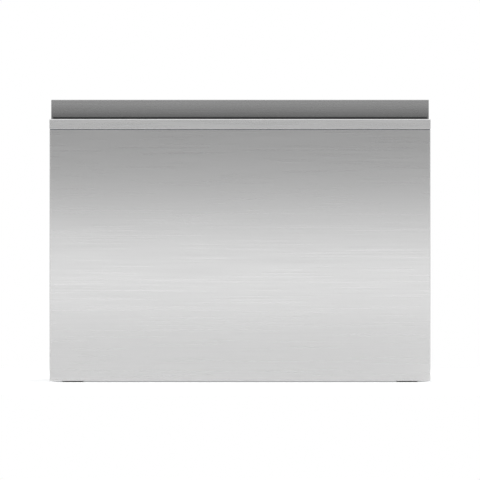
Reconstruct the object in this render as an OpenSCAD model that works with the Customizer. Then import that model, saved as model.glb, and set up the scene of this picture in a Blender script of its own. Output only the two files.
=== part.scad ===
// Built-in dishwasher drawer, closed, with a recessed finger handle along its top edge.
// Millimetres. X to the right, the front face at the lowest Y, Z up from the floor.

/* [Front panel] */
// Width of the front panel
front_w = 596; // [560:1:720]
// Height of the flat front panel
panel_h = 392.5; // [380:0.5:480]
// Thickness of the front sheet
skin_t = 1; // [0.8:0.1:1.2]
// Depth of the folded edges of the front sheet
skin_fold = 18.5; // [18:0.1:20]
// Radius of the folded vertical edges
skin_r = 2; // [1.5:0.1:4]
// Gap between the floor and the front panel
floor_gap = 2; // [1:0.5:4]

/* [Handle] */
// Height of the lip that the fingers pull
lip_h = 15.6; // [12:0.2:22]
// Thickness of the hemmed lip
lip_t = 2.5; // [2:0.1:3]
// Shadow joint between the panel and the lip
joint_gap = 1.6; // [1:0.1:3]
// Clear width of the finger channel
finger_gap = 18; // [16:0.5:20]
// Depth of the finger channel below the top of the lip
finger_depth = 26.7; // [22:0.1:30]
// Height of the back wall above the lip
back_wall_h = 30.4; // [28:0.2:40]
// Thickness of the handle sheet
handle_t = 1.5; // [1:0.1:2]
// Step between the edge of the panel and the end of the back wall
back_wall_inset = 2.5; // [2:0.1:5]
// Thickness of the end caps in the channel
end_cap_t = 3; // [2:0.5:8]

/* [Cabinet] */
// Depth of the whole machine
overall_d = 573; // [520:1:640]
// Part of the front panel that covers each cabinet side
side_reveal = 3; // [2:0.5:6]
// Thickness of the cabinet sheet
sheet_t = 1; // [0.8:0.1:1.2]
// Drop from the top of the handle to the top of the cabinet
top_drop = 3.1; // [3:0.1:8]
// Space between the front of the lip and the front edge of the cabinet
cabinet_setback = 24.5; // [24.5:0.5:27]
// Height of the base pan above the floor
pan_z = 6; // [5:0.5:12]
// Thickness of the base pan
pan_t = 1.2; // [1:0.1:2]
// Height of the rear recess for the water and power connections
recess_h = 69; // [62:1:90]
// Depth of the rear recess
recess_d = 36.5; // [30:0.5:40]
// Width of the rear recess
recess_w = 470; // [440:1:480]
// Diameter of the holes that take the cabinet fixing screws
fixing_hole_d = 5.2; // [4:0.1:6]

/* [Feet] */
// Diameter of a foot disc
foot_d = 36; // [28:1:40]
// Height of a foot disc
foot_disc_h = 4; // [3:0.5:5]
// Diameter of a foot screw
foot_screw_d = 8; // [6:1:10]
// Length of a foot screw above the disc
foot_screw_l = 42; // [30:1:48]
// Radial clearance of a turning or sliding pin
fit = 0.06; // [0.04:0.01:0.09]

/* [Connections] */
// Outside diameter of the water inlet thread
inlet_d = 26.4; // [20:0.1:27]
// Outside diameter of the drain spigot
drain_d = 19; // [16:0.5:22]
// Bore of the power cord gland
gland_bore_d = 9; // [7:0.5:10]
// Length of each connection past the recess wall
spigot_l = 32; // [24:1:34]

/* [Runners] */
// Height of the runner cabinet member
runner_h = 45; // [40:1:50]
// Height of the runner above the floor
runner_z = 60; // [56:1:62]
// Thickness of the runner sheet
runner_t = 1.2; // [1:0.1:1.5]
// Width of a complete runner
runner_w = 13; // [12:0.5:15]
// Running gap between the runner members
runner_gap = 0.4; // [0.3:0.05:0.5]
// Length of the cabinet and tub members
runner_l = 500; // [440:1:505]
// Thickness of the tub bracket
bracket_t = 1.5; // [1.2:0.1:2]

/* [Tub] */
// Space between the cabinet side and the tub wall
tub_side_gap = 32; // [31.5:0.5:44]
// Space between the inner door panel and the tub
tub_front_gap = 54; // [53:1:60]
// Space between the tub and the back panel
tub_rear_gap = 50.5; // [50:0.5:60]
// Height of the underside of the tub
tub_z = 100; // [100:1:110]
// Thickness of the tub walls and floor
tub_t = 3; // [2.5:0.1:3.5]
// Outside corner radius of the tub
tub_r = 42; // [30:1:60]
// Width of the rim flange that the seal closes on
rim_w = 10; // [9:0.5:11]
// Thickness of the rim flange
rim_t = 4; // [3:0.5:6]
// Drop from the cabinet top to the rim
rim_drop = 42; // [40:1:44]
// Radius of the sump around the rotor
sump_r = 50; // [49:1:56]
// Radius of the sump around the drain filter
drain_sump_r = 34; // [32:1:38]
// Depth of the sump below the tub
sump_h = 34; // [33:1:36]

/* [Lid] */
// Distance that the lid moves to close on the tub
lid_travel = 12; // [8:0.5:12]
// Height of the lid seal
seal_h = 3.7; // [3:0.1:4.5]
// Height of the lid rim above its base
lid_h = 16; // [12:1:18]
// Thickness of the lid base
lid_t = 2.5; // [2:0.1:4]
// Pitch radius of the lid drive pinion
pinion_r = 6; // [5.5:0.1:6.2]
// Teeth on the lid drive pinion
pinion_teeth = 12; // [10:1:14]
// Width of the lid drive pinion
pinion_w = 10; // [6:1:12]

/* [Wash system] */
// Length of the spray arm
arm_l = 390; // [300:2:400]
// Height of the spray arm blades
arm_h = 12; // [8:1:14]
// Radius of the rotor
rotor_r = 37; // [28:1:37.5]
// Radius of the motor housing
motor_r = 58; // [50:1:64]
// Height of the motor housing
motor_h = 44; // [36:1:44]
// Radius of the filter plate
filter_r = 105; // [100:1:115]
// Radius of the removable drain filter
drain_filter_r = 26; // [20:0.5:27]

/* [Racks] */
// Diameter of the rack wires
wire_d = 3.4; // [3:0.2:4]
// Diameter of the rack frame wires
frame_wire_d = 4.8; // [4:0.2:5.4]
// Height of the rack floor above the tub floor
rack_lift = 29; // [29:1:34]
// Height of the rack walls
rack_wall_h = 105; // [100:1:130]
// Clearance between the rack and the tub wall
rack_clearance = 13; // [12:1:18]
// Extra clearance behind the dispenser
rack_front_clearance = 19; // [18:1:26]
// Height of the plate tines
tine_h = 90; // [70:1:92]
// Distance between two tines
tine_pitch = 30; // [26:1:30]
// Depth of a cup rack
cup_rack_d = 90; // [60:1:95]
// Length of a cup rack
cup_rack_l = 240; // [180:5:250]

/* [Controls] */
// Width of a push button
button_w = 24; // [16:1:28]
// Depth of a push button
button_d = 10; // [8:0.5:12]
// Travel of a push button
button_travel = 1.2; // [0.8:0.1:1.3]
// Distance between two push buttons
button_pitch = 40; // [34:1:44]
// Width of the display window
display_w = 80; // [50:1:100]

/* [Hidden] */
$fn = 48;
// Overlap of solids that are joined, and overshoot of cuts
eps = 0.02;
over = 1;

// Front and handle
front_y = -overall_d / 2;
rear_y = overall_d / 2;
panel_top_z = floor_gap + panel_h;
lip_z = panel_top_z + joint_gap;
lip_top_z = lip_z + lip_h;
top_z = lip_top_z + back_wall_h;
channel_y = front_y + lip_t;
back_wall_y = channel_y + finger_gap;
handle_rear_y = back_wall_y + handle_t;
channel_floor_z = lip_top_z - finger_depth;
handle_under_z = channel_floor_z - handle_t;
handle_w = front_w - 2 * back_wall_inset;
leaf_gap = 0.3;
inner_panel_t = 1;
inner_panel_y = front_y + skin_fold;
inner_panel_rear_y = inner_panel_y + inner_panel_t;
inner_panel_z = [12, handle_under_z - 1.5];
inner_panel_half = front_w / 2 - 8;
pad_t = 3.4;
pad_gap = 0.3;
pad_half = inner_panel_half - 40;
pad_z = [40, inner_panel_z[1] - 32];
door_screw_x = inner_panel_half - 20;
door_screw_z = [40, 150, 250, inner_panel_z[1] - 22];
door_screw_l = 10;
door_hole_l = 12;
frame_y = [front_y + skin_t + leaf_gap, inner_panel_y - pad_t - 2 * pad_gap];
frame_half = front_w / 2 - skin_t - 0.5;
frame_clearance = 0.3;
frame_z = [floor_gap + skin_t + over, handle_under_z - frame_clearance];
frame_rim_w = 34;
frame_web_t = 1.5;
pocket_columns = 9;
pocket_rows = 6;
pocket_rib = 4;

// Cabinet
chassis_half = front_w / 2 - side_reveal;
chassis_in = chassis_half - sheet_t;
chassis_y = front_y + cabinet_setback;
back_y = rear_y - sheet_t;
cabinet_top_z = top_z - top_drop;
top_under_z = cabinet_top_z - sheet_t;
pan_top_z = pan_z + pan_t;
pan_fold_h = 13;
front_flange_w = 13;
top_flange_w = 14;
top_flange_y = chassis_y + 22;
side_rib_z = [180, 300];
side_rib_h = 14;
side_rib_d = 2;
side_rib_inset = 40;
fixing_z = [150, 330];
fixing_inset = 14;
recess_y = rear_y - recess_d;
recess_top_z = pan_z + recess_h;
recess_sheet_t = 1.2;
recess_half = recess_w / 2;
runner_z1 = runner_z + runner_h;
trim_y = [chassis_y - 4, chassis_y];
trim_w = 7;
front_flange_z = runner_z1 + 8;
trim_z = [front_flange_z, handle_under_z - 5];
connection_z = pan_z + 34;
inlet_x = 150;
drain_x = 90;
gland_x = 205;
gland_r = 11;
connection_gap = 0.1;
float_x = -200;
float_y = front_y + 106.5;
float_r = 18;
float_h = 10;
float_stem_r = 3;
float_rest_gap = 0.3;
float_guide_z = [pan_top_z + 17, pan_top_z + 29];
foot_x = chassis_half - 33;
foot_y = [chassis_y + 27, rear_y - 31.5];
foot_boss_r = foot_screw_d / 2 + 4;
foot_boss_h = 10;
screw_head_r = 3.6;
screw_head_h = 1.8;
screw_shank_r = 1.9;
screw_hole_r = 2;
screw_shank_l = 6;
top_screw_x = chassis_in - top_flange_w / 2;
top_screw_y = [chassis_y + 52, -60, 130, back_y - 15];

// Runners and tub
runner_y = [chassis_y + 4, chassis_y + 4 + runner_l];
runner_middle_inset = 6;
bracket_x = chassis_in - runner_w;
tub_half = chassis_in - tub_side_gap;
tub_y = [inner_panel_rear_y + tub_front_gap, back_y - tub_rear_gap];
tub_mid_y = (tub_y[0] + tub_y[1]) / 2;
tub_d = tub_y[1] - tub_y[0];
tub_floor_z = tub_z + tub_t;
rim_z = top_under_z - rim_drop;
tub_in_y = [tub_y[0] + tub_t, tub_y[1] - tub_t];
sump_z = tub_z - sump_h;
arm_y = tub_mid_y;

rotor_shaft_r = 4;
heater_r = sump_r - tub_t - 4;
heater_tube_r = 3;
drain_filter_gap = 2;
drain_y = arm_y + heater_r + heater_tube_r + drain_filter_gap + drain_filter_r;
heater_leg_r = 2.2;
heater_z = sump_z + 24;
heater_legs = [200, 340];
filter_t = 2.5;
filter_y = arm_y + 25;
spindle_r = 17;
arm_z = tub_floor_z + filter_t + 1;
spindle_top_z = arm_z + 5.5;

// Front compartment
fascia_t = 2.5;
fascia_half = bracket_x - 2;
fascia_y = [handle_rear_y, tub_y[0] - rim_w];
fascia_top_z = top_under_z - 3;
fascia_skirt_z = lip_top_z - 7;
board_t = 1.6;
board_drop = 6.9;
board_z = fascia_top_z - fascia_t - board_drop - board_t;
board_half = 150;
board_edge = 4;
post_r = 2.5;
post_x = 142;
post_inset = 10;
button_y = (fascia_y[0] + fascia_y[1]) / 2;
button_x0 = -120;
button_rise = 0.8;
button_gap = 0.3;
button_flange = 1.5;
button_flange_h = 2.2;
stem_r = 2;
switch_h = 0.6;
display_x = 100;
display_d = 12;
fan_x = -175;
fan_z = rim_z - 71;
fan_r = 42;
fan_t = 2.5;
fan_base_t = 8;
fan_depth = 39;
fan_rotor_r = 34;
fan_shaft_r = 3;
fan_blades = 10;
duct_r = 16;
duct_bore_r = 13;

// Dispenser on the front wall of the tub
cup_half = 30;
cup_depth = 26;
dispenser_z = [rim_z - 134, rim_z - 68];
dispenser_x = [-92, 34];
dispenser_half = 102;
dispenser_depth = 30;
dispenser_plate_t = 3;
dispenser_margin = 8;
dispenser_mid_z = (dispenser_z[0] + dispenser_z[1]) / 2;
cover_inset = 1;
door_overlap = 3;
door_t = 2.4;
door_gap = 0.3;
cap_x = -66;
cap_r = 19;
cap_spigot_r = 14;

// Lid
lid_z = rim_z + 0.3 + lid_travel + seal_h;
lid_margin = 1.5;
seal_w = 6;
lid_wall_t = 3;
ear_x = [bracket_x - 7.5, bracket_x - 4];
tooth_pitch = 2 * PI * pinion_r / pinion_teeth;
tooth_h = 1.6;
rack_gear_y = tub_mid_y + 10;
pinion_x = ear_x[1] + pinion_r - 0.7;
pinion_z = lid_z + 4;
pinion_shaft_r = 2.5;

// Racks
rack_half = tub_half - tub_t - rack_clearance;
rack_y = [tub_in_y[0] + rack_front_clearance, tub_in_y[1] - rack_clearance + 1];
rack_z = tub_floor_z + rack_lift;
rack_frame_z = rack_z + wire_d / 2;
rack_top_z = rack_frame_z + frame_wire_d / 2 - 0.2;
wires_along = 9;
wires_across = 13;
tine_rod_r = 2;
tine_rod_z = rack_z + wire_d * 2 + 3.2;
tine_row_y = [arm_y + 20, arm_y + 120];
tine_clip_w = 8;
clip_r = 4.5;
wall_gap = 0.1;
post_step = 15;
tine_clip_x = 6 * 2 * rack_half / (wires_across + 1);
tines_per_side = floor((tine_clip_x - tine_clip_w) / tine_pitch + 0.5);
rack_rail_z = rack_frame_z + rack_wall_h;
cup_hinge_x = rack_half - 5;
cup_hinge_z = rack_rail_z + 8;
cup_rack_y = [arm_y + 10 - cup_rack_l / 2, arm_y + 10 + cup_rack_l / 2];
cup_clip_y = [cup_rack_y[0] + 25.5, cup_rack_y[1] - 25.5];
cup_wires = 9;
basket_x = [-70, 170];
basket_depth = 70;
basket_h = 108;
basket_t = 2;
basket_y = [rack_y[0] + 5, rack_y[0] + 5 + basket_depth];
basket_z = rack_top_z + 0.1;
basket_cells = 4;
basket_slots = 16;

// A block between two corners, given as [low, high] along each axis
module block(x, y, z) {
    translate([x[0], y[0], z[0]]) cube([x[1] - x[0], y[1] - y[0], z[1] - z[0]]);
}

// Round bars along each axis
module bar_x(x, y, z, r) {
    translate([x[0], y, z]) rotate([0, 90, 0]) cylinder(r = r, h = x[1] - x[0]);
}
module bar_y(x, y, z, r) {
    translate([x, y[0], z]) rotate([-90, 0, 0]) cylinder(r = r, h = y[1] - y[0]);
}
module bar_z(x, y, z, r) {
    translate([x, y, z[0]]) cylinder(r = r, h = z[1] - z[0]);
}

// A rectangle with round corners, about the origin
module soft_rect(w, d, r) {
    square([w - 2 * r, d], center = true);
    square([w, d - 2 * r], center = true);
    for (x = [-1, 1], y = [-1, 1]) {
        translate([x * (w / 2 - r), y * (d / 2 - r)]) circle(r = r);
    }
}

// Draws its children on the right, or mirrored on the left
module on_side(side) {
    if (side < 0) {
        mirror([1, 0, 0]) children();
    } else {
        children();
    }
}

// Sweeps a section drawn in depth and height along the width
module along_width(w) {
    rotate([90, 0, 90]) linear_extrude(w, center = true) children();
}

// ---- Cabinet ----

module chassis_side(side) {
    color("#b9bcbe") on_side(side) difference() {
        union() {
            block([chassis_in, chassis_half], [chassis_y, back_y], [pan_z, top_under_z]);
            block([chassis_in - front_flange_w, chassis_in], [chassis_y, chassis_y + sheet_t],
                [front_flange_z, top_under_z]);
            block([chassis_in - top_flange_w, chassis_in], [top_flange_y, back_y],
                [top_under_z - sheet_t, top_under_z]);
            for (z = side_rib_z) {
                block([chassis_in - side_rib_d, chassis_in],
                    [chassis_y + side_rib_inset, back_y - side_rib_inset],
                    [z, z + side_rib_h]);
            }
        }
        for (z = fixing_z) {
            bar_x([chassis_in - over, chassis_half + over], chassis_y + fixing_inset, z, fixing_hole_d / 2);
        }
        for (y = top_screw_y) {
            bar_z(top_screw_x, y, [top_under_z - sheet_t - over, top_under_z + over], screw_hole_r);
        }
    }
}

module chassis_left_side() {
    chassis_side(-1);
}

module chassis_right_side() {
    chassis_side(1);
}

module chassis_back_panel() {
    vent_w = 60;
    vent_h = 4;
    vent_x = 140;
    vent_z = 330;
    vent_rows = 5;
    vent_pitch = 12;
    color("#a9acae") difference() {
        block([-chassis_half, chassis_half], [back_y, rear_y], [pan_z, top_under_z]);
        block([-recess_half, recess_half], [back_y - over, rear_y + over],
            [pan_z - over, recess_top_z - recess_sheet_t]);
        for (x = [-vent_x, vent_x], row = [0 : vent_rows - 1]) {
            block([x - vent_w / 2, x + vent_w / 2], [back_y - over, rear_y + over],
                [vent_z + row * vent_pitch, vent_z + row * vent_pitch + vent_h]);
        }
    }
}

module chassis_top_panel() {
    color("#b9bcbe") difference() {
        block([-chassis_half, chassis_half], [chassis_y, rear_y], [top_under_z, cabinet_top_z]);
        for (x = [-top_screw_x, top_screw_x], y = top_screw_y) {
            bar_z(x, y, [top_under_z - over, cabinet_top_z + over], screw_hole_r);
        }
    }
}

module side_trims() {
    color("#3a3b3d") for (side = [-1, 1]) {
        on_side(side) block([chassis_half - trim_w, chassis_half], trim_y, trim_z);
    }
}

module base_pan() {
    color("#9da0a2") difference() {
        union() {
            block([-chassis_in, chassis_in], [chassis_y, back_y], [pan_z, pan_top_z]);
            block([-chassis_in, chassis_in], [chassis_y, chassis_y + pan_t],
                [pan_top_z, pan_top_z + pan_fold_h]);
            for (side = [-1, 1]) {
                on_side(side) block([chassis_in - pan_t, chassis_in], [chassis_y + pan_t, back_y],
                    [pan_top_z, pan_top_z + pan_fold_h]);
            }
            for (x = [-foot_x, foot_x], y = foot_y) {
                bar_z(x, y, [pan_top_z - eps, pan_top_z + foot_boss_h], foot_boss_r);
            }
        }
        for (x = [-foot_x, foot_x], y = foot_y) {
            bar_z(x, y, [pan_z - over, pan_top_z + foot_boss_h + over], foot_screw_d / 2 + fit);
        }
    }
}

// Folded housing of the rear recess, with one hole for each connection
module service_bracket() {
    hole_y = [recess_y - over, recess_y + recess_sheet_t + over];
    color("#9da0a2") difference() {
        union() {
            block([-recess_half, recess_half], [recess_y, recess_y + recess_sheet_t],
                [pan_top_z, recess_top_z]);
            block([-recess_half, recess_half], [recess_y, back_y],
                [recess_top_z - recess_sheet_t, recess_top_z]);
            for (side = [-1, 1]) {
                on_side(side) block([recess_half - recess_sheet_t, recess_half], [recess_y, back_y],
                    [pan_top_z, recess_top_z]);
            }
        }
        bar_y(inlet_x, hole_y, connection_z, inlet_d / 2 + connection_gap);
        bar_y(drain_x, hole_y, connection_z, drain_d / 2 + connection_gap);
        bar_y(gland_x, hole_y, connection_z, gland_r + connection_gap);
    }
}

module foot(x, y) {
    color("#2e2f31") union() {
        bar_z(x, y, [0, foot_disc_h], foot_d / 2);
        bar_z(x, y, [foot_disc_h - eps, foot_disc_h + foot_screw_l], foot_screw_d / 2);
    }
}

module foot_front_left() {
    foot(-foot_x, foot_y[0]);
}

module foot_front_right() {
    foot(foot_x, foot_y[0]);
}

module foot_rear_left() {
    foot(-foot_x, foot_y[1]);
}

module foot_rear_right() {
    foot(foot_x, foot_y[1]);
}

module water_inlet_valve() {
    body_w = 44;
    body_d = 26;
    body_h = 38;
    coil_r = 12;
    coil_rise = 20;
    flange_r = inlet_d / 2 + 4;
    flange_y = [recess_y + recess_sheet_t, recess_y + recess_sheet_t + 3];
    wall = 4;
    color("#e8e6df") difference() {
        union() {
            block([inlet_x - body_w / 2, inlet_x + body_w / 2], [recess_y - body_d, recess_y],
                [connection_z - body_h / 2, connection_z + body_h / 2]);
            bar_z(inlet_x, recess_y - body_d / 2, [connection_z, connection_z + body_h / 2 + coil_rise],
                coil_r);
            bar_y(inlet_x, [recess_y - eps, recess_y + spigot_l], connection_z, inlet_d / 2);
            bar_y(inlet_x, flange_y, connection_z, flange_r);
        }
        bar_y(inlet_x, [recess_y, recess_y + spigot_l + over], connection_z, inlet_d / 2 - wall);
    }
}

module drain_outlet_spigot() {
    plate_t = 4;
    plate_margin = 6;
    nut_margin = 4;
    barb_w = 3;
    barb_h = 1;
    barb_pitch = 6;
    barb_y = recess_y + 11;
    wall = 2.5;
    color("#4a4c4f") difference() {
        union() {
            bar_y(drain_x, [recess_y - plate_t, recess_y + spigot_l], connection_z, drain_d / 2);
            bar_y(drain_x, [recess_y - plate_t, recess_y], connection_z, drain_d / 2 + plate_margin);
            bar_y(drain_x, [recess_y + recess_sheet_t, recess_y + recess_sheet_t + plate_t], connection_z,
                drain_d / 2 + nut_margin);
            for (i = [0 : 1]) {
                bar_y(drain_x, [barb_y + barb_pitch * i, barb_y + barb_pitch * i + barb_w], connection_z,
                    drain_d / 2 + barb_h);
            }
        }
        bar_y(drain_x, [recess_y - plate_t - over, recess_y + spigot_l + over], connection_z,
            drain_d / 2 - wall);
    }
}

module cord_gland() {
    nut_r = gland_r + 3;
    nut_t = 5;
    collar_t = 3;
    collar_margin = 2.5;
    body_y = [recess_y - 8, recess_y + 14];
    color("#2b2c2e") difference() {
        union() {
            bar_y(gland_x, body_y, connection_z, gland_r);
            bar_y(gland_x, [recess_y - collar_t, recess_y], connection_z, gland_r + collar_margin);
            translate([gland_x, recess_y + recess_sheet_t, connection_z]) rotate([-90, 0, 0])
                cylinder(r = nut_r, h = nut_t, $fn = 6);
        }
        bar_y(gland_x, [body_y[0] - over, body_y[1] + over], connection_z, gland_bore_d / 2);
    }
}

// Power board in its case on the back panel, with two straps and a row of cooling grooves
module power_module() {
    case_x = [-250, -90];
    case_z = [130, 270];
    case_gap = 8;
    case_d = back_y - (tub_y[1] + rim_w) - case_gap;
    strap_t = 3;
    strap_w = 20;
    strap_reach = 10;
    groove_w = 10;
    groove_d = 1.5;
    groove_inset = 15;
    grooves = 7;
    color("#d5d6d2") difference() {
        union() {
            block(case_x, [back_y - case_d, back_y], case_z);
            for (z = [case_z[0] + strap_w, case_z[1] - 2 * strap_w]) {
                block([case_x[0] - strap_reach, case_x[1] + strap_reach], [back_y - strap_t, back_y],
                    [z, z + strap_w]);
            }
        }
        for (i = [0 : grooves - 1]) {
            x = case_x[0] + groove_inset + 2 * groove_w * i;
            block([x, x + groove_w], [back_y - case_d - over, back_y - case_d + groove_d],
                [case_z[0] + groove_inset, case_z[1] - groove_inset]);
        }
    }
}

// Float that rises when water reaches the base pan
module flood_float() {
    stem_drop = 2;
    color("#e9e7e0") union() {
        bar_z(float_x, float_y, [pan_top_z + float_rest_gap, pan_top_z + float_rest_gap + float_h], float_r);
        bar_z(float_x, float_y, [pan_top_z + float_h, float_guide_z[1] - stem_drop], float_stem_r);
    }
}

module flood_switch() {
    post_y = float_y + 20;
    post_t = 6;
    half_w = 12;
    switch_half_w = 9;
    switch_y = float_y + 7;
    switch_rise = 10;
    color("#3c3e41") difference() {
        union() {
            block([float_x - half_w, float_x + half_w], [float_y - half_w, post_y + post_t], float_guide_z);
            block([float_x - half_w, float_x + half_w], [post_y, post_y + post_t],
                [pan_top_z, float_guide_z[1]]);
            block([float_x - switch_half_w, float_x + switch_half_w], [switch_y, post_y + post_t],
                [float_guide_z[1] - eps, float_guide_z[1] + switch_rise]);
        }
        bar_z(float_x, float_y, [float_guide_z[0] - over, float_guide_z[1] + over], float_stem_r + fit);
    }
}

// Geared motors on the cabinet sides that lower the lid
module lid_actuators() {
    case_gap = 2;
    case_l = 50;
    case_drop = 12;
    bearing_l = 10;
    motor_l = 26;
    case_y = [rack_gear_y + pinion_w / 2 + case_gap, rack_gear_y + pinion_w / 2 + case_gap + case_l];
    case_z = [pinion_z - case_drop, top_under_z - case_gap];
    case_x = [ear_x[1] + case_gap, chassis_in];
    color("#c9cac6") for (side = [-1, 1]) {
        on_side(side) difference() {
            union() {
                block(case_x, case_y, case_z);
                bar_y(pinion_x, [case_y[1] - eps, case_y[1] + motor_l], pinion_z, pinion_r);
            }
            bar_y(pinion_x, [case_y[0] - over, case_y[0] + bearing_l], pinion_z, pinion_shaft_r + fit);
        }
    }
}

module lid_pinion(side) {
    root_r = pinion_r - 0.9;
    tooth_sink = 0.4;
    shaft_l = 9;
    tooth_root = 1.7;
    tooth_tip = 0.7;
    tip_r = root_r + tooth_h;
    color("#e4e2da") on_side(side) translate([pinion_x, rack_gear_y, pinion_z]) rotate([90, 0, 0]) union() {
        linear_extrude(pinion_w, center = true) {
            circle(r = root_r);
            for (i = [0 : pinion_teeth - 1]) {
                rotate(i * 360 / pinion_teeth) polygon([
                    [root_r - tooth_sink, -tooth_root / 2], [tip_r, -tooth_tip / 2],
                    [tip_r, tooth_tip / 2], [root_r - tooth_sink, tooth_root / 2]
                ]);
            }
        }
        translate([0, 0, -pinion_w / 2 - shaft_l]) cylinder(r = pinion_shaft_r, h = shaft_l + eps);
    }
}

module lid_pinion_left() {
    lid_pinion(-1);
}

module lid_pinion_right() {
    lid_pinion(1);
}

module chassis_screws() {
    color("#8f9295") for (x = [-top_screw_x, top_screw_x], y = top_screw_y) {
        union() {
            bar_z(x, y, [cabinet_top_z, cabinet_top_z + screw_head_h], screw_head_r);
            bar_z(x, y, [cabinet_top_z - screw_shank_l, cabinet_top_z + eps], screw_shank_r);
        }
    }
}

// ---- Runners ----

runner_x = bracket_x + 2;

// A channel that opens towards the middle or the side, on the right of the drawer
module runner_channel(x, y, z, web_at_side) {
    web_x = web_at_side ? [x[1] - runner_t, x[1]] : [x[0], x[0] + runner_t];
    union() {
        block(web_x, y, z);
        block(x, y, [z[0], z[0] + runner_t]);
        block(x, y, [z[1] - runner_t, z[1]]);
    }
}

module runner_outer_members() {
    color("#a4a7aa") for (side = [-1, 1]) {
        on_side(side) runner_channel([runner_x, chassis_in], runner_y, [runner_z, runner_z1], true);
    }
}

module runner_middle_members() {
    step = runner_t + runner_gap;
    color("#b4b7ba") for (side = [-1, 1]) {
        on_side(side) runner_channel([runner_x, chassis_in - step],
            [runner_y[0] + runner_middle_inset, runner_y[1] - 2 * runner_middle_inset],
            [runner_z + step, runner_z1 - step], true);
    }
}

module runner_inner_members() {
    step = runner_t + runner_gap;
    side_gap = 0.2;
    color("#a4a7aa") for (side = [-1, 1]) {
        on_side(side) runner_channel([bracket_x, chassis_in - 2 * step - side_gap], runner_y,
            [runner_z + 2 * step, runner_z1 - 2 * step], false);
    }
}

// Angles under the tub that carry it on the runners
module tub_brackets() {
    shelf_w = 40;
    tab_w = 30;
    drop = 42;
    color("#a0a3a6") for (side = [-1, 1]) {
        on_side(side) union() {
            block([bracket_x - bracket_t, bracket_x], [inner_panel_rear_y, runner_y[1]],
                [tub_z - drop, tub_z]);
            block([bracket_x - shelf_w, bracket_x - bracket_t], [tub_y[0], tub_y[1]],
                [tub_z - bracket_t, tub_z]);
            block([bracket_x - tab_w, bracket_x - bracket_t],
                [inner_panel_rear_y, inner_panel_rear_y + bracket_t], [tub_z - drop, tub_z]);
        }
    }
}

// ---- Drawer front ----

module door_skin() {
    fold_w = front_w - 2 * skin_t;
    color("#c6c8ca") union() {
        translate([0, front_y, floor_gap]) linear_extrude(panel_h) difference() {
            translate([0, skin_fold / 2]) intersection() {
                translate([0, skin_r]) soft_rect(front_w, skin_fold + 2 * skin_r, skin_r);
                square([front_w, skin_fold], center = true);
            }
            translate([0, skin_fold / 2 + skin_t]) intersection() {
                translate([0, skin_r]) soft_rect(fold_w, skin_fold + 2 * skin_r, skin_r - skin_t);
                square([front_w, skin_fold], center = true);
            }
        }
        block([-fold_w / 2 + skin_r, fold_w / 2 - skin_r], [front_y + skin_t - eps, front_y + skin_fold],
            [floor_gap, floor_gap + skin_t]);
    }
}

// The hemmed lip, the finger channel and the back wall, folded from one sheet
module handle_profile() {
    leaf_y = [front_y + skin_t + leaf_gap, channel_y];
    radius = finger_gap / 2;
    arc_z = channel_floor_z + radius;
    arc_y = channel_y + radius;
    outer_r = back_wall_y - arc_y + handle_t;
    leaf_w = front_w - 2 * skin_t - 2 * leaf_gap;
    leaf_lap = 1;
    color("#b3b6b9") union() {
        along_width(front_w) {
            translate([front_y, lip_z]) square([lip_t, lip_h - lip_t / 2]);
            translate([front_y + lip_t / 2, lip_top_z - lip_t / 2]) circle(r = lip_t / 2);
        }
        along_width(min(leaf_w, handle_w)) {
            translate([leaf_y[0], arc_z]) square([leaf_y[1] - leaf_y[0], lip_z - arc_z + leaf_lap]);
        }
        along_width(handle_w) {
            difference() {
                translate([arc_y, arc_z]) circle(r = outer_r);
                translate([arc_y, arc_z]) circle(r = radius);
                translate([arc_y - 2 * radius, arc_z]) square([4 * radius, 2 * radius]);
                translate([arc_y - 2 * radius, arc_z - 2 * radius])
                    square([leaf_y[0] - arc_y + 2 * radius, 2 * radius]);
            }
            translate([back_wall_y, arc_z - eps]) square([handle_t, top_z - handle_t / 2 - arc_z + eps]);
            translate([back_wall_y + handle_t / 2, top_z - handle_t / 2]) circle(r = handle_t / 2);
        }
    }
}

// Plugs that close the finger channel at both ends
module handle_end_caps() {
    clearance = 0.05;
    cap_drop = 2;
    radius = finger_gap / 2;
    arc_z = channel_floor_z + radius;
    cap_h = lip_top_z - cap_drop - arc_z;
    color("#4b4d50") for (side = [-1, 1]) {
        on_side(side) translate([handle_w / 2 - end_cap_t / 2, 0, 0]) along_width(end_cap_t) {
            translate([channel_y + radius, arc_z]) circle(r = radius - clearance);
            translate([channel_y + clearance, arc_z]) square([finger_gap - 2 * clearance, cap_h]);
        }
    }
}

// Moulded frame behind the front sheet, with rows of blind pockets
module door_backing_frame() {
    pocket_area_w = 2 * (frame_half - frame_rim_w);
    pocket_area_h = frame_z[1] - frame_z[0] - 2 * pocket_rib;
    step_x = pocket_area_w / pocket_columns;
    step_z = pocket_area_h / pocket_rows;
    color("#5a5c5f") difference() {
        block([-frame_half, frame_half], frame_y, frame_z);
        for (i = [0 : pocket_columns - 1], j = [0 : pocket_rows - 1]) {
            x = -pocket_area_w / 2 + i * step_x;
            z = frame_z[0] + pocket_rib + j * step_z;
            block([x + pocket_rib / 2, x + step_x - pocket_rib / 2],
                [frame_y[0] + frame_web_t, frame_y[1] + over],
                [z + pocket_rib / 2, z + step_z - pocket_rib / 2]);
        }
        door_screw_holes();
    }
}

module acoustic_pad() {
    color("#2c2c2d") block([-pad_half, pad_half], [inner_panel_y - pad_gap - pad_t, inner_panel_y - pad_gap],
        pad_z);
}

module inner_door_panel() {
    color("#a6a9ac") difference() {
        block([-inner_panel_half, inner_panel_half], [inner_panel_y, inner_panel_rear_y], inner_panel_z);
        door_screw_holes();
    }
}

// Places one child at each screw of the door
module at_door_screws() {
    for (x = [-1, 1], z = door_screw_z) {
        translate([x * door_screw_x, 0, z]) children();
    }
}

module door_screw_holes() {
    at_door_screws() bar_y(0, [inner_panel_y - door_hole_l, inner_panel_rear_y + over], 0, screw_hole_r);
}

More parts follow.
